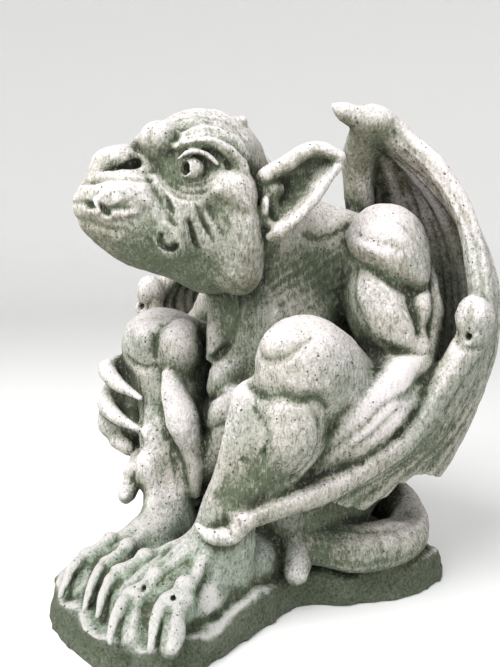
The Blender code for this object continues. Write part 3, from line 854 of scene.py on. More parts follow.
def carve_shoulders(clay, rng):
    """Edge of the deltoid, strands from neck to shoulder, biceps and elbow folds."""
    for side in BOTH:
        half = Carver(clay, side)
        half.crease(4.4, 3.2, *DELTOID_EDGE)
        half.crease(3.4, 3.4, (52, -13, 282), (57, -1, 280), (64, 11, 286), (70, 22, 296))
        half.strands(NECK_STRANDS[0], NECK_STRANDS[1], 6, 2.2, 1.5, 0.8, rng)
        half.crease(1.6, 3.2, (84, 9, 284), (97, 6, 280), (108, 12, 276), (117, 22, 272))
        half.crease(1.4, 2.8, (94, 12, 297), (104, 17, 294), (113, 24, 288), (119, 30, 280))
        half.crease(1.3, 2.6, (86, 10, 268), (97, 8, 265), (106, 14, 258))
        half.welt(1.0, 4, (86, 8, 277), (98, 6, 272), (109, 13, 267))
    body = Carver(clay)
    body.crease(3.4, 3, (117, 42, 240), (111, 33, 226), (110, 30, 212), (116, 31, 202))
    body.crease(2.4, 2.6, (122, 48, 242), (122, 46, 226), (123, 42, 212), (126, 36, 202))
    body.crease(2.4, 3, (84, 10, 258), (84, 6, 244), (90, 2, 228), (98, 4, 214))
    body.crease(3.6, 3, (108, 4, 204), (116, 10, 200), (124, 18, 198), (130, 24, 197))
    body.crease(2, 2.4, (131, 34, 199), (134, 28, 196), (133, 20, 190))
    body.strands(BICEPS[0], BICEPS[1], 5, 1.8, 0.9, 0.7, rng)


def carve_forearms(clay, rng):
    """Two corded strands from the elbow to the wrist, cut by long thin grooves."""
    body = Carver(clay)
    body.crease(2.4, 4, *FOREARM_GROOVE)
    body.welt(2, 6, *FOREARM_TOP)
    body.welt(1.5, 5, *FOREARM_LOW)
    body.strands(FOREARM_TOP, FOREARM_GROOVE, 3, 2.4, 0.7, 0.7, rng)
    body.strands(FOREARM_GROOVE, FOREARM_LOW, 4, 2.0, 0.9, 0.7, rng)
    half = Carver(clay, RIGHT)
    half.crease(3, 3, (124, 8, 186), (126, -10, 178), (126, -30, 168), (122, -46, 162))


def carve_legs(clay, rng):
    """Knee caps, the overhang below them, shin ridges and the folds of calf and thigh."""
    left = Carver(clay)
    left.ball((80, -66, 208), (14, 13, 12), 6)
    left.crease(
        2.8, 2.6, (60, -78, 212), (66, -80, 203), (76, -80, 198), (88, -78, 200), (97, -72, 206),
        (102, -64, 214),
    )
    left.crease(
        5, 3.2, (60, -80, 182), (70, -82, 177), (80, -82, 174), (91, -79, 176), (102, -73, 173),
        (111, -64, 172), (115, -54, 164),
    )
    left.welt(1.6, 4, (64, -82, 188), (76, -82, 184), (90, -80, 186), (103, -72, 184), (113, -60, 182))
    left.crease(1.8, 3.6, (72, -86, 166), (80, -86, 158), (84, -84, 146), (80, -84, 132), (70, -86, 118))
    left.crease(1.0, 4.5, (64, -86, 160), (60, -92, 142), (58, -97, 124), (56, -99, 108))
    left.crease(2.2, 2.4, (102, -62, 168), (106, -56, 152), (100, -58, 134), (88, -66, 118), (72, -80, 100))
    left.crease(
        5, 4.5, (52, -103, 103), (60, -101, 101), (68, -96, 100), (76, -90, 101), (83, -80, 107),
        (93, -66, 116),
    )
    left.strands(CALF[0], CALF[1], 4, 1.6, 0.9, 1.2, rng)
    right = Carver(clay, RIGHT)
    right.ball((68, -68, 201), (14, 13, 13), 5)
    right.ball((45, -54, 194), (17, 18, 22), 9)
    right.limb(
        4, (44, -68, 170, 7), (36, -69, 154, 11), (27, -67, 136, 14), (21, -64, 114, 9), (18, -63, 98, 6.5),
        (19, -62, 76, 4),
    )
    right.crease(2.2, 4.5, (68, -76, 213), (61, -73, 206), (57, -72, 196), (56, -74, 186))
    right.crease(2, 3, (52, -62, 214), (56, -68, 207), (57, -72, 198))
    right.crease(3, 2.8, (84, -78, 184), (74, -80, 178), (64, -78, 176), (56, -72, 178))
    right.crease(2.4, 3.6, (52, -80, 172), (48, -82, 156), (43, -82, 138), (38, -82, 122))
    right.crease(1.5, 2, (33, -78, 114), (29, -76, 96), (28, -74, 78))
    right.crease(1.8, 2.4, (72, -78, 160), (68, -82, 142), (60, -86, 122), (52, -90, 102))
    for half in (left, right):
        half.strands(THIGH_SIDE[0], THIGH_SIDE[1], 6, 2.0, 0.9, 1.2, rng)


def carve_belly(clay, rng):
    """Throat column that ends in a point, then three rounded belly plates between the knees."""
    body = Carver(clay)
    body.limb(3, (-12, -30, 240, 20), (-12, -32, 218, 17), (-16, -38, 200, 11), (-21, -42, 186, 5))
    body.limb(5, (-2, -30, 182, 11), (-10, -36, 172, 13), (-16, -38, 160, 11))
    body.limb(5, (3, -40, 156, 10), (-2, -45, 146, 12), (-7, -47, 134, 10))
    body.limb(5, (2, -38, 128, 10), (-8, -44, 116, 12), (-16, -48, 102, 11), (-20, -50, 92, 8))
    body.crease(2.6, 2.6, (-18, -44, 152), (-8, -50, 156), (4, -50, 164))
    body.crease(2.6, 2.6, (-14, -52, 128), (-6, -56, 131), (6, -52, 138))
    body.crease(3, 3, (-30, -34, 234), (-34, -34, 218), (-32, -36, 202), (-26, -42, 188))
    body.crease(4, 3, (10, -36, 236), (8, -38, 218), (2, -40, 202), (-8, -44, 190), (-18, -46, 184))
    for side in BOTH:
        half = Carver(clay, side)
        half.crease(3, 4, (44, -30, 232), (46, -26, 214), (42, -30, 196), (36, -38, 178))


def carve_feet(clay, rng):
    """Clefts between the toes, a groove beside each claw and small pits under the knuckles."""
    for side in BOTH:
        half = Carver(clay, side)
        toes = np.array(TOES[side], float)
        for middle in (toes[1:, 0] + toes[:-1, 0]) / 2:
            cleft = middle + ((0, 14, 7), (0, 0, -3), (0, -16, -10), (2, -30, -17))
            half.groove(2.4, *[(*point, 4.2) for point in cleft])
        beside = np.array((7 * side, 1, 2))
        for knuckle, joint, claw in toes:
            root, tip = joint + (claw - joint) * 0.15, joint + (claw - joint) * 0.85
            half.crease(2.6, 2, root + beside, (root + tip) / 2 + beside, tip + beside - (0, 0, 2))
            half.crease(1.8, 1.8, root + (-6, 1, 4), root + (0, 1, 6), root + (6, 1, 4))
            if side == LEFT and knuckle[0] > 20:
                pit = knuckle + (0, -8, -2)
                half.drill(1.5, (*pit, 0.8), (*(pit + (4, -5, 1)), 1.6))


def carve_wings(clay, rng):
    """Strands along the leading edge, a knuckle with a pit, and fibres beside the lower rim."""
    for side in BOTH:
        half = Carver(clay, side)
        low = np.array(LOWER_EDGE[side])[:, :3]
        top = low[0]
        half.ball(top + (-0.5, -3, 9), (13, 13, 17), 4)
        if side == RIGHT:
            half.ball(top + (3, -9, -8), (8, 8, 9), 2)
        half.crease(
            4, 2.6, top + (-12, -10, 2), top + (-6, -14, -8), top + (4, -14, -11), top + (14, -6, -12),
        )
        half.drill(1.5, (*(top + (2, -8, -2)), 2.4), (*(top + (0, -18, -6)), 3.6))
        half.crease(2, 2.4, top + (2, -18, 22), top + (4, -17, 12), top + (2, -17, 4))
        edge = np.array(WING_EDGE[side])[:9, :3]
        half.crease(2.6, 2.2, *(edge[1:-1] + (5, -5, -4)))
        half.crease(1.2, 1.6, *(edge[2:-1] + (-2, -8, -6)))
        half.crease(2.8, 2.4, *(low[:-1] + (11, 5, -9)))
        half.strands(low[:-1] + (12, 7, -11), low[:-1] + (14, 26, -18), 5, 1.8, 2.0, 0.6, rng)
        half.welt(1.4, 4, *(low + (6, -8, 3)))
        knob = low[-1]
        half.crease(2.6, 1.8, knob + (-8, -12, 4), knob + (-6, -14, -5), knob + (4, -10, -12))


def carve_tail(clay, rng):
    """Deep hollow inside the loop, a flattened top and creases where the tail bends."""
    body = Carver(clay)
    body.hollow((100, 58, 66), (12, 22, 10), 5)
    body.crease(2, 3, (104, 76, 58), (112, 46, 58), (104, 10, 60), (84, -8, 62), (68, -20, 60))
    body.crease(1.6, 3, (116, 40, 40), (110, 8, 40), (90, -12, 42), (76, -20, 42))
    for y, x in ((30, 118), (12, 112), (52, 118)):
        body.crease(1.4, 1.8, (x - 10, y, 60), (x, y - 3, 50), (x, y - 6, 38))


CARVING = (carve_shoulders, carve_forearms, carve_legs, carve_belly, carve_feet, carve_wings, carve_tail)


def carve_figure(cell, seed):
    """The whole figure as clay: masses first, then strokes; the rough hand-worked skin comes after, in
    build_figure.
    """
    clay = Clay(BLOCK_LOW, BLOCK_HIGH, cell)
    rng = np.random.default_rng(seed)
    lay_rock(clay, rng)
    lay_trunk(clay)
    lay_arms(clay)
    lay_legs(clay)
    lay_tail(clay)
    for side in BOTH:
        lay_wing(clay, side)
    lay_head(clay)
    for carve in CARVING:
        carve(clay, rng)
    return clay


# ---------------------------------------------------------------- skin


def swell(lattice, counts):
    """A coarse lattice of numbers drawn out to a full grid, eased between its points."""
    for axis, count in enumerate(counts):
        at = np.linspace(0, lattice.shape[axis] - 1.001, count)
        low = at.astype(int)
        share = at - low
        share = share * share * (3 - 2 * share)
        shape = [1, 1, 1]
        shape[axis] = count
        share = share.reshape(shape).astype(np.float32)
        lattice = lattice.take(low, axis) * (1 - share) + lattice.take(low + 1, axis) * share
    return lattice


def roughen(clay, spacing, depth, rng):
    """Uneven skin: random numbers on a lattice of the given spacing, eased and added to the gap."""
    counts = clay.gap.shape
    lattice = rng.normal(0, depth, [int(n * clay.cell / spacing) + 2 for n in counts])
    clay.gap += swell(lattice.astype(np.float32), counts)


def trim(clay, low, high):
    """Keeps the clay between two corners, so the underside is flat."""
    _, grids = clay.window(clay.first * clay.cell, (clay.first + clay.count) * clay.cell)
    for grid, least, most in zip(grids, low, high):
        np.maximum(clay.gap, np.maximum(least - grid, grid - most), out=clay.gap)


def blurred(field, reach):
    """Mean of the field over a box of cells, taken twice; sums are carried along each axis."""
    for axis in range(3):
        for _ in range(2):
            total = np.cumsum(field, axis=axis, dtype=np.float32)
            size = field.shape[axis]
            high = np.minimum(np.arange(size) + reach, size - 1)
            low = np.maximum(np.arange(size) - reach - 1, 0)
            field = (total.take(high, axis) - total.take(low, axis)) / (2 * reach + 1)
    return field


def buried(clay, points, reach, thin=1):
    """Share of stone round each point. On the skin: low on an edge, half on a flat, high in a fold.

    At a point off the skin by the reach: an eighth over a flat, more where the stone closes in.
    """
    stone = np.clip(0.5 - clay.gap[::thin, ::thin, ::thin] / (clay.cell * thin), 0, 1)
    cell = clay.cell * thin
    share = Clay.__new__(Clay)
    share.cell = cell
    share.first = clay.first / thin
    share.gap = blurred(stone, max(1, round(reach / cell)))
    share.count = np.array(share.gap.shape)
    return share.gap_at(points)


def largest_piece(count, edges):
    """Marks the points of the biggest connected piece: labels sink to the lowest neighbour's."""
    label = np.arange(count)
    while True:
        low = np.minimum(label[edges[:, 0]], label[edges[:, 1]])
        sunk = label.copy()
        np.minimum.at(sunk, label[edges[:, 0]], low)
        np.minimum.at(sunk, label[edges[:, 1]], low)
        sunk = sunk[sunk]
        if np.array_equal(sunk, label):
            return label == np.bincount(label).argmax()
        label = sunk


def skin_mesh(clay, name):
    """The zero level of the gap as a closed mesh in metres, with its faces turned outwards."""
    grid = openvdb.FloatGrid(FAR)
    grid.transform = openvdb.createLinearTransform(voxelSize=clay.cell)
    grid.copyFromArray(np.ascontiguousarray(clay.gap), ijk=tuple(int(v) for v in clay.first))
    points, triangles, quads = grid.convertToPolygons(0.0, 0.0)
    faces = np.concatenate([quads, triangles[:, [0, 1, 2, 2]]]) if len(triangles) else quads
    faces = faces.astype(np.int64)
    keep = largest_piece(len(points), faces[:, [0, 1, 1, 2, 2, 3]].reshape(-1, 2))
    faces = faces[keep[faces[:, 0]]]
    index = np.cumsum(keep) - 1
    points, faces = points[keep], index[faces]
    a, b, c, d = (points[faces[:, i]] for i in range(4))
    volume = np.einsum("ij,ij->i", a + b + c + d, np.cross(c - a, d - b)).sum()
    if volume < 0:
        faces = faces[:, ::-1]
    mesh = bpy.data.meshes.new(name)
    mesh.from_pydata(np.zeros((0, 3)), [], [])
    mesh.vertices.add(len(points))
    put_points(mesh, points)
    mesh.loops.add(faces.size)
    mesh.loops.foreach_set("vertex_index", faces.astype(np.int32).ravel())
    mesh.polygons.add(len(faces))
    mesh.polygons.foreach_set("loop_start", np.arange(0, faces.size, 4, dtype=np.int32))
    mesh.update(calc_edges=True)
    mesh.validate()
    return mesh


def thinned(mesh, most, keep_fine):
    """The mesh with its flattest edges folded away until it has at most so many triangles.

    keep_fine gives a share per point, from 0 where edges go early to 1 where they go last.
    """
    piece = linked(mesh.name, mesh)
    group = piece.vertex_groups.new(name="fine")
    for level in np.unique(keep_fine):
        group.add(np.flatnonzero(keep_fine == level).tolist(), float(level), "REPLACE")
    fold = piece.modifiers.new("fold", "DECIMATE")
    fold.ratio = min(1, most / (2 * len(mesh.polygons)))
    fold.use_collapse_triangulate = True
    fold.vertex_group = "fine"
    fold.vertex_group_factor = 1.0
    fold.invert_vertex_group = True
    graph = bpy.context.evaluated_depsgraph_get()
    small = bpy.data.meshes.new_from_object(piece.evaluated_get(graph), depsgraph=graph)
    bpy.data.objects.remove(piece)
    bpy.data.meshes.remove(mesh)
    return small


def points_of(mesh):
    """The mesh's points in the figure's frame."""
    points = np.empty(len(mesh.vertices) * 3, np.float32)
    mesh.vertices.foreach_get("co", points)
    return points.reshape(-1, 3) / MM - CENTRE


def put_points(mesh, points):
    """Puts points of the figure's frame into the mesh, in the part's frame."""
    mesh.vertices.foreach_set("co", ((points + CENTRE) * MM).astype(np.float32).ravel())


def record(mesh, name, values):
    """Keeps one number per point, for the finish."""
    mesh.attributes.new(name, "FLOAT", "POINT").data.foreach_set("value", values.astype(np.float32))


def build_figure(sizes):
    """Clay, skin, thinning and the shares of buried stone that the finish reads.

    The folds are read on the skin itself; how shut in a place is, at a point that stands off the
    skin by the reach of the reading.
    """
    cell = sizes.cell
    clay = carve_figure(cell / MM, sizes.seed)
    rng = np.random.default_rng(sizes.seed + 1)
    depth = sizes.roughness / MM
    roughen(clay, 11, depth, rng)
    roughen(clay, 5, depth * 0.6, rng)
    low, high = (np.array(corner) / MM - CENTRE for corner in cad_box)
    trim(clay, low + (BOX_GAP, BOX_GAP, 0), high - BOX_GAP)
    mesh = skin_mesh(clay, "gargoyle_carving")
    points = points_of(mesh)
    from_face = np.linalg.norm(points - HEAD_MIDDLE - FACE_AHEAD * AHEAD, axis=1)
    keep_fine = np.round(np.clip(1.6 - from_face / 70, 0, 0.9), 1)
    small = thinned(mesh, sizes.triangles, keep_fine)
    points = points_of(small)
    points[np.abs(points[:, 2]) < LEVEL_WITHIN, 2] = 0
    put_points(small, points)
    normals = np.empty(len(points) * 3, np.float32)
    small.vertices.foreach_get("normal", normals)
    outward = normals.reshape(-1, 3)
    record(small, "fold_fine", buried(clay, points, FOLD_REACH))
    record(small, "shut_near", buried(clay, points + NEAR_REACH * outward, NEAR_REACH, 2))
    record(small, "shut_far", buried(clay, points + FAR_REACH * outward, FAR_REACH, 3))
    small.polygons.foreach_set("use_smooth", np.ones(len(small.polygons), bool))
    small.update()
    return small


# ---------------------------------------------------------------- finish


class Value:
    """A socket that carries a number, and adds Math nodes when it is used in an expression."""

    def __init__(self, graph, socket):
        self.graph = graph
        self.socket = socket

    def math(self, operation, *others):
        inputs = {i: other for i, other in enumerate((self, *others))}
        return self.graph.add("ShaderNodeMath", {"operation": operation}, inputs)

    def __add__(self, other):
        return self.math("ADD", other)

    def __sub__(self, other):
        return self.math("SUBTRACT", other)

    def __mul__(self, other):
        return self.math("MULTIPLY", other)

    def __rsub__(self, other):
        return self.graph.add("ShaderNodeMath", {"operation": "SUBTRACT"}, {0: other, 1: self})

    __radd__ = __add__
    __rmul__ = __mul__

    def most(self, other):
        return self.math("MAXIMUM", other)

    def rise(self, low, high):
        """Smooth step from 0 at low to 1 at high; it falls where low is above high."""
        settings = {"interpolation_type": "SMOOTHSTEP"}
        ends = {1: low, 2: high} if low < high else {1: high, 2: low, 3: 1.0, 4: 0.0}
        return self.graph.add("ShaderNodeMapRange", settings, {0: self, **ends})


class Graph:
    """A material's nodes, added one at a time: type, settings, then socket values or links."""

    def __init__(self, name):
        self.material = bpy.data.materials.new(name)
        self.material.use_nodes = True
        self.nodes = self.material.node_tree.nodes
        self.links = self.material.node_tree.links
        self.nodes.clear()

    def add(self, kind, settings=None, inputs=None, output=0):
        """One node; its output comes back as a Value if it is a number, or else as a socket."""
        node = self.nodes.new(kind)
        for key, setting in (settings or {}).items():
            setattr(node, key, setting)
        for key, given in (inputs or {}).items():
            socket = node.inputs[key]
            if isinstance(given, Value):
                given = given.socket
            if isinstance(given, bpy.types.NodeSocket):
                self.links.new(given, socket)
            else:
                socket.default_value = given
        found = node.outputs[output] if node.outputs else node
        is_number = getattr(found, "type", "") == "VALUE"
        return Value(self, found) if is_number else found

    def attribute(self, name):
        return self.add("ShaderNodeAttribute", {"attribute_name": name}, output="Fac")

    def axis(self, vector, index):
        """One of a vector's three numbers."""
        return self.add("ShaderNodeSeparateXYZ", None, {0: vector}, index)

    def noise(self, place, scale, detail=3.0, rough=0.5, twist=0.0):
        """Soft random pattern; a higher scale is finer."""
        inputs = {"Vector": place, "Scale": scale, "Detail": detail, "Roughness": rough}
        return self.add("ShaderNodeTexNoise", None, {**inputs, "Distortion": twist})

    def pits(self, place, scale, widest, rarity):
        """Round holes of random size: each Voronoi cell draws its own radius, many of them none."""
        settings = {"feature": "F1"}
        inputs = {"Vector": place, "Scale": scale}
        distance = self.add("ShaderNodeTexVoronoi", settings, inputs)
        tint = self.add("ShaderNodeTexVoronoi", settings, inputs, output="Color")
        chance = self.add("ShaderNodeSeparateColor", None, {0: tint}, 0)
        radius = (chance - rarity).most(0) * (widest / (1 - rarity))
        return (radius - distance).rise(-0.02, 0.06)

    # Used for the painted shade and painted light patches on the front.
    def painted_patch(self, place, middle, reach):
        """A soft round patch: 1 at its middle, 0 from its reach outward."""
        settings = {"operation": "DISTANCE"}
        away = self.add("ShaderNodeVectorMath", settings, {0: place, 1: tuple(middle)}, output="Value")
        return away.rise(reach, 0.2 * reach)

    def stretched(self, place, scales):
        """The place with each of its three numbers scaled."""
        return self.add("ShaderNodeVectorMath", {"operation": "MULTIPLY"}, {0: place, 1: scales})

    def blend(self, share, first, second):
        """Colour mix: the first where the share is 0, the second where it is 1."""
        inputs = {0: share, 6: first, 7: second}
        for key in (6, 7):
            if not isinstance(inputs[key], bpy.types.NodeSocket):
                inputs[key] = (*tuple(inputs[key])[:3], 1)
        settings = {"data_type": "RGBA", "clamp_factor": True}
        return self.add("ShaderNodeMix", settings, inputs, output=2)

    def surface(self, inputs):
        """The material, with a principled surface joined to its output."""
        shader = self.add("ShaderNodeBsdfPrincipled", None, inputs)
        self.add("ShaderNodeOutputMaterial", None, {"Surface": shader})
        return self.material


# Painted shade and painted light on the front: middle, reach, and depth of painted shade, or of painted
# light where below nought
PAINTED_SHADE_AND_LIGHT = (
    ((2, -104, 258), 46, 1.0),
    ((8, -42, 222), 36, 0.65),
    ((56, -2, 250), 42, 0.65),
    ((60, -36, 310), 22, 0.9),
    ((74, -86, 118), 36, 0.75),
    ((60, -97, 102), 20, 0.7),
    ((30, -84, 356), 40, 0.15),
    ((12, -103, 326), 17, 0.8),
    ((84, -10, 68), 40, 0.9),
    ((128, 44, 130), 44, 0.35),
    ((-8, -134, 308), 28, -0.35),
    ((122, -14, 160), 40, -0.7),
    ((133, 8, 188), 22, -0.7),
    ((106, 10, 282), 28, -0.5),
    ((-30, -80, 136), 36, -0.35),
    ((-30, -86, 78), 24, -0.45),
    ((84, 84, 316), 70, -1.2),
    ((62, -108, 26), 40, -1.0),
)


def painted_shade_and_light_on(graph, place, normal):
    """Sum of the painted shade and painted light patches' depths on the faces that look forward."""
    total = 0.0
    for middle, reach, depth in PAINTED_SHADE_AND_LIGHT:
        total = graph.painted_patch(place, (np.array(middle) + CENTRE) * MM, reach * MM) * depth + total
    return total * graph.axis(normal, 1).rise(0.35, -0.15)


def stone_material(finish):
    """Cast stone rubbed pale on everything proud, with green and umber dirt and painted shade in the
    hollows.

    Height = grain + chisel marks + a little mottle - pinholes - specks. A share rises with how
    proud and open the form is, which follows wear and moss and also paints shade where light is
    shut out, with the height, and with how far the face looks up, which paints light from above.
    It falls in the painted shade patches, rises in the painted light patches and falls low towards
    the back. The grey coat covers the dark ground as the share goes from -0.9 to 0, and the pale
    rubbing and painted light cover both as it goes from -0.15 to 0.95, so each coat breaks up
    where it thins out. Faces that look down are painted with olive shade.
    Scales of patterns are per metre, and heights and places are in metres.
    """
    graph = Graph("cast_stone_weathered")
    place = graph.add("ShaderNodeTexCoord", output="Object")
    y, z = graph.axis(place, 1), graph.axis(place, 2)
    normal = graph.add("ShaderNodeNewGeometry", output="Normal")
    faces_up = graph.axis(normal, 2)
    fine, near, far = (graph.attribute(name) for name in ("fold_fine", "shut_near", "shut_far"))

    regions = graph.noise(place, 14, 2, 0.5)
    patches = graph.noise(place, 45, 3, 0.55)
    mottle = graph.noise(place, 130, 3, 0.6, 0.5)
    grain = graph.noise(place, 480, 4, 0.7, 0.4)
    chisel = graph.noise(graph.stretched(place, (520, 520, 170)), 1.0, 3, 0.6, 0.8)
    worm = (graph.noise(place, 130, 2, 0.5, 1.2) - 0.5).math("ABSOLUTE").rise(0.0, 0.08)
    pinholes = graph.pits(place, 300, 0.26, 0.6)
    specks = graph.pits(place, 640, 0.30, 0.45)

    rough = mottle * 0.12 + grain * 0.55 + chisel * 0.33
    # Creases and shut-in places lower the share: partly moss and dirt left in the hollows, partly painted
    # shade where light is shut out.
    crease = (fine - 0.53).most(0) * 3.5
    proud = (0.48 - fine) * 1.1 - crease + (0.12 - near) * 2.1 + (0.12 - far) * 0.6
    share = proud * finish.contrast + (rough - 0.5) * 3.1 + (patches - 0.5) * 0.5
    # Darker low down and towards the back: fully below 5 cm and behind the middle, not at all above 13 cm.
    low_back_darkening = z.rise(0.13, 0.05) * y.rise(-0.05, 0.02)
    # Painted shade and painted light: soft patches on the front that darken or lighten the stone.
    share = share - painted_shade_and_light_on(graph, place, normal)
    # Faces that look up are painted paler and faces that look down darker: painted light from above.
    share = share + (worm - 1) * 0.12 + (faces_up - 0.15) * 0.7 - low_back_darkening * 0.45 + finish.bias
    grey = share.rise(-0.9, 0.0)
    pale = share.rise(-0.15, 0.95)

    # Ground under the coats: umber in the deepest folds, partly dirt and partly painted shade, and moss
    # elsewhere.
    ground = graph.blend((proud * 1.4 + grain).rise(-0.9, 0.2), finish.umber, finish.moss)
    stone = graph.blend(regions.rise(0.38, 0.62), finish.stone, finish.stone_cool)
    # Painted shade on faces that look down, above 20 cm: the stone turns olive there.
    under = faces_up.rise(0.0, -0.6) * z.rise(0.2, 0.25)
    stone = graph.blend(under * 0.65, stone, finish.olive_underside_shade)
    foot = (z + (patches - 0.5) * 0.04).rise(0.1, 0.05) * y.rise(0.0, -0.06)
    stone = graph.blend(foot * 0.85, stone, finish.lichen)
    ground = graph.blend(foot * 0.7, ground, finish.moss)
    side = (z + (mottle - 0.5) * 0.014).rise(0.031, 0.022) * faces_up.rise(0.85, 0.5)
    dust = mottle * 0.3 + chisel * 0.7
    # The pale coat is both rubbing on proud forms and painted light on faces that look up and in the
    # painted light patches.
    rubbed_and_painted_light = pale * finish.wear * (1 - side * 0.75) * (1 - foot * 0.35)
    mossy = graph.blend(grain.rise(0.35, 0.65), finish.umber, finish.moss)
    coats = (
        (grey * finish.cover * (1 - side * 0.65), stone),
        (dust.rise(0.5, 0.66) * 0.45, finish.stone),
        (dust.rise(0.5, 0.36) * 0.5, finish.umber),
        (rubbed_and_painted_light, finish.pale),
        (side * 0.8, mossy),
        (specks * 0.55, finish.moss),
        (pinholes * 0.9, finish.umber),
    )
    colour = ground
    for covers, coat in coats:
        colour = graph.blend(covers, colour, coat)

    height = rough + worm * 0.05 - pinholes * 0.5 - specks * 0.16
    depth = {"Strength": 1.0, "Distance": finish.relief, "Height": height}
    surface = {
        "Base Color": colour,
        "Roughness": 0.92 - rubbed_and_painted_light * 0.14,
        "Normal": graph.add("ShaderNodeBump", None, depth),
        "Specular IOR Level": 0.3,
    }
    return graph.surface(surface)


def paper_material(colour, glow):
    """Matt seamless paper with a faint mottle, lit a little from behind."""
    graph = Graph("studio_paper")
    place = graph.add("ShaderNodeTexCoord", output="Object")
    shade = graph.blend(graph.noise(place, 9, 2), tuple(0.985 * c for c in colour[:3]), colour)
    surface = {
        "Base Color": shade,
        "Roughness": 0.95,
        "Emission Color": shade,
        "Emission Strength": glow,
    }
    return graph.surface(surface)


# ---------------------------------------------------------------- studio


def linked(name, data):
    """A new object in the scene."""
    thing = bpy.data.objects.new(name, data)
    bpy.context.scene.collection.objects.link(thing)
    return thing


def camera_place(azimuth, elevation, distance, target):
    """Matrix of a camera at an angle round a target: 0 looks along +Y, and elevation is upward."""
    level = math.cos(elevation)
    back = Vector((math.sin(azimuth) * level, -math.cos(azimuth) * level, math.sin(elevation)))
    across = Vector((math.cos(azimuth), math.sin(azimuth), 0))
    turn = Matrix((across, back.cross(across), back)).transposed().to_4x4()
    turn.translation = Vector(target) + distance * back
    return turn


def build_camera(studio):
    """Camera that looks at the target from its angle and distance."""
    data = bpy.data.cameras.new("camera")
    data.lens = studio.lens
    data.sensor_width = 36
    data.clip_start = 0.01
    camera = linked("camera", data)
    place = (studio.azimuth, studio.elevation, studio.distance, studio.target)
    camera.matrix_world = camera_place(*place)
    bpy.context.scene.camera = camera


FLOOR_GAP = 0.0002  # the paper lies this far under the piece


def build_floor(studio, size=3.0, bend=0.35, wall=2.4):
    """Paper sweep round the object: flat floor, then a ring that curls up into a wall.

    Radius runs out to the bend; beyond it radius = size + bend * sin(turn) and
    height = bend * (1 - cos(turn)), then straight up.
    """
    turn = np.linspace(0, math.pi / 2, 14)
    radius = np.concatenate([np.linspace(0.02, size, 8), size + bend * np.sin(turn[1:]), [size + bend]])
    height = np.concatenate([np.zeros(8), bend * (1 - np.cos(turn[1:])), [wall]])
    around = np.linspace(0, 2 * math.pi, 97)[:-1]
    rows, columns = len(radius), len(around)
    points = np.empty((rows, columns, 3))
    points[..., 0] = np.outer(radius, np.cos(around))
    points[..., 1] = np.outer(radius, np.sin(around))
    points[..., 2] = height[:, None] - FLOOR_GAP
    index = np.arange(rows * columns).reshape(rows, columns)
    beyond = np.roll(index, -1, axis=1)
    quads = np.stack([index[:-1], index[1:], beyond[1:], beyond[:-1]], -1).reshape(-1, 4)
    mesh = bpy.data.meshes.new("studio_floor")
    mesh.from_pydata(points.reshape(-1, 3).tolist(), [], [*quads.tolist(), index[0].tolist()])
    mesh.polygons.foreach_set("use_smooth", np.ones(len(mesh.polygons), bool))
    mesh.update()
    mesh.materials.append(paper_material(studio.paper, studio.glow))
    floor = linked("studio_floor", mesh)


# Soft lights: name, share of the key's power, width, azimuth and elevation in degrees, distance, colour
LIGHTS = (
    ("key", 1.0, 1.0, 2, 50, 1.4, (1.0, 0.99, 0.985)),
    ("fill", 0.26, 1.4, 85, 28, 1.8, (0.95, 0.98, 1.0)),
)
LIGHTS_AIM = (0, 0, 0.2)


def build_light(name, power, size, azimuth, elevation, distance, colour):
    """Square soft light turned to the middle of the figure."""
    data = bpy.data.lights.new(name, "AREA")
    data.energy = power
    data.shape = "SQUARE"
    data.size = size
    data.color = colour
    turn, rise = math.radians(azimuth), math.radians(elevation)
    linked(name, data).matrix_world = camera_place(turn, rise, distance, LIGHTS_AIM)


def build_world(studio):
    """Even white light from all round."""
    world = bpy.data.worlds.new("studio_air")
    world.use_nodes = True
    backdrop = world.node_tree.nodes["Background"]
    backdrop.inputs["Color"].default_value = (1, 1, 1, 1)
    backdrop.inputs["Strength"].default_value = studio.air
    bpy.context.scene.world = world
    bpy.context.scene.view_settings.view_transform = "Standard"


# ---------------------------------------------------------------- add-on


def number(name, description, default, **more):
    """A number on the panel."""
    return bpy.props.FloatProperty(name=name, description=description, default=default, **more)


def length(name, description, default):
    """A length on the panel, shown finely."""
    return number(name, description, default, unit="LENGTH", precision=5)


def strength(name, description, default):
    """A share from 0 to 1 on the panel."""
    return number(name, description, default, min=0, max=1, subtype="FACTOR")


def colour_property(name, description, default):
    """A colour on the panel."""
    return bpy.props.FloatVectorProperty(
        name=name, description=description, default=default, size=3, subtype="COLOR", min=0, max=1
    )


class GargoyleCarving(bpy.types.PropertyGroup):
    """Sizes of the carving."""

    cell: length("Cell", "Spacing of the clay grid; smaller shows finer strokes and takes longer", 0.00125)
    quick_cell: length("Quick cell", "Spacing of the clay grid while trying things out", 0.0018)
    triangles: bpy.props.IntProperty(
        name="Triangles", description="Most triangles in the finished carving", default=194000, min=1000
    )
    roughness: length("Hand roughness", "How far the worked skin wanders from the modelled form", 0.00032)
    seed: bpy.props.IntProperty(
        name="Seed", description="Picks one run of uneven strokes and skin", default=7
    )


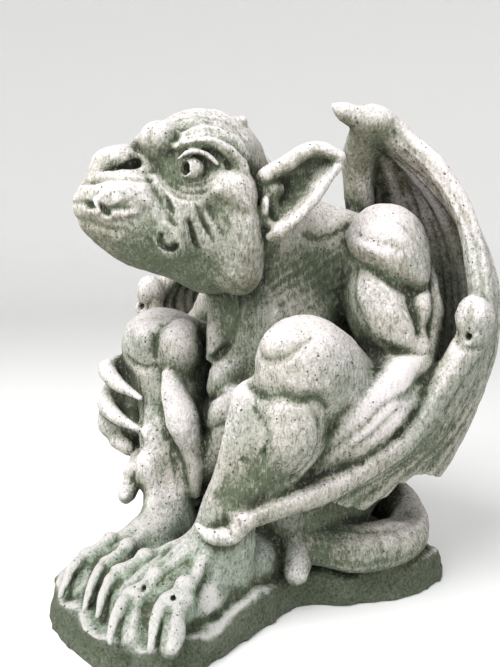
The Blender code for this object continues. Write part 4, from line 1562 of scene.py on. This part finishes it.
class GargoyleFinish(bpy.types.PropertyGroup):
    """Colours and amounts of the weathering."""

    pale: colour_property("Rubbed stone", "Bare pale stone on everything proud", (0.83, 0.775, 0.775))
    stone: colour_property("Stone", "Warm grey coat between proud and sunk", (0.44, 0.42, 0.365))
    stone_cool: colour_property("Cool stone", "Greener coat in patches", (0.335, 0.355, 0.30))
    moss: colour_property("Moss", "Green-grey dirt in the hollows", (0.115, 0.14, 0.088))
    # Umber in the deepest folds is partly dirt and partly painted shade.
    umber: colour_property("Umber", "Dirt in the deepest folds and pinholes", (0.035, 0.040, 0.025))
    lichen: colour_property("Lichen", "Pale green bloom on the feet and the block", (0.27, 0.34, 0.265))
    # The olive colour is painted shade on faces that look down.
    olive_underside_shade: colour_property("Olive", "Brown-green stain on the undersides", (0.215, 0.185, 0.115))
    # The pale rubbing also carries the painted light on faces that look up.
    wear: strength("Wear", "Strength of the pale rubbing", 0.95)
    cover: strength("Cover", "Strength of the grey coat", 0.93)
    # Contrast and bias also set the painted shade in shut-in places and the painted light on faces that
    # look up.
    contrast: number("Contrast", "How sharply wear and dirt follow the form", 1.85, min=0)
    bias: number("Bias", "Shifts the whole surface towards pale or, below 0, towards dirt", 0.09)
    relief: length("Relief", "Depth of the grain and pinholes", 0.003)


class GargoyleStudio(bpy.types.PropertyGroup):
    """Camera, light and floor."""

    azimuth: number("Azimuth", "Camera's turn from straight in front", math.radians(46), subtype="ANGLE")
    elevation: number("Elevation", "Camera's height above the horizon", math.radians(7), subtype="ANGLE")
    distance: length("Distance", "From the camera to what it looks at", 0.567)
    lens: number("Lens", "Focal length in millimetres on a 36 mm sensor", 36, unit="CAMERA")
    target: bpy.props.FloatVectorProperty(
        name="Target",
        description="Point in the middle of the view",
        default=(-0.0194, 0.0228, 0.201),
        size=3,
        subtype="TRANSLATION",
        unit="LENGTH",
    )
    paper: colour_property("Paper", "Colour of the floor", (0.86, 0.86, 0.855))
    glow: number("Glow", "Light that the paper gives off by itself", 0.18, min=0)
    air: number("Fill light", "Even light from all round", 0.36, min=0)
    key: number("Key light", "Power of the main soft light", 30, min=0, unit="POWER")


class GARGOYLE_OT_carve(bpy.types.Operator):
    """Carve the whole figure as one block and give it its weathered finish"""

    bl_idname = "gargoyle.carve"
    bl_label = "Carve gargoyle"

    def execute(self, context):
        scene = context.scene
        mesh = build_figure(scene.gargoyle_carving)
        mesh.materials.append(stone_material(scene.gargoyle_finish))
        piece = linked("gargoyle_carving", mesh)
        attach(piece, "root")
        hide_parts("gargoyle")
        return {"FINISHED"}


class GARGOYLE_OT_stage(bpy.types.Operator):
    """Set up the camera, the soft lights and the paper floor"""

    bl_idname = "gargoyle.stage"
    bl_label = "Set stage"

    def execute(self, context):
        studio = context.scene.gargoyle_studio
        build_camera(studio)
        build_floor(studio)
        build_world(studio)
        for name, share, *rest in LIGHTS:
            build_light(name, studio.key * share, *rest)
        return {"FINISHED"}


class GARGOYLE_PT_panel(bpy.types.Panel):
    """Lists the steps and their sizes and colours"""

    bl_idname = "GARGOYLE_PT_panel"
    bl_label = "Gargoyle"
    bl_space_type = "VIEW_3D"
    bl_region_type = "UI"
    bl_category = "Gargoyle"

    def draw(self, context):
        scene = context.scene
        for operator, group in STEPS:
            box = self.layout.box()
            box.operator(operator)
            for name in group:
                settings = getattr(scene, name)
                for field in settings.__annotations__:
                    box.prop(settings, field)


STEPS = (
    ("gargoyle.carve", ("gargoyle_carving", "gargoyle_finish")),
    ("gargoyle.stage", ("gargoyle_studio",)),
)
GROUPS = {
    "gargoyle_carving": GargoyleCarving,
    "gargoyle_finish": GargoyleFinish,
    "gargoyle_studio": GargoyleStudio,
}
CLASSES = (*GROUPS.values(), GARGOYLE_OT_carve, GARGOYLE_OT_stage, GARGOYLE_PT_panel)


def register():
    for cls in CLASSES:
        bpy.utils.register_class(cls)
    for name, group in GROUPS.items():
        setattr(bpy.types.Scene, name, bpy.props.PointerProperty(type=group))


def unregister():
    for name in GROUPS:
        delattr(bpy.types.Scene, name)
    for cls in reversed(CLASSES):
        bpy.utils.unregister_class(cls)


def main():
    register()
    bpy.ops.gargoyle.carve()
    bpy.ops.gargoyle.stage()


if __name__ == "__main__":
    main()
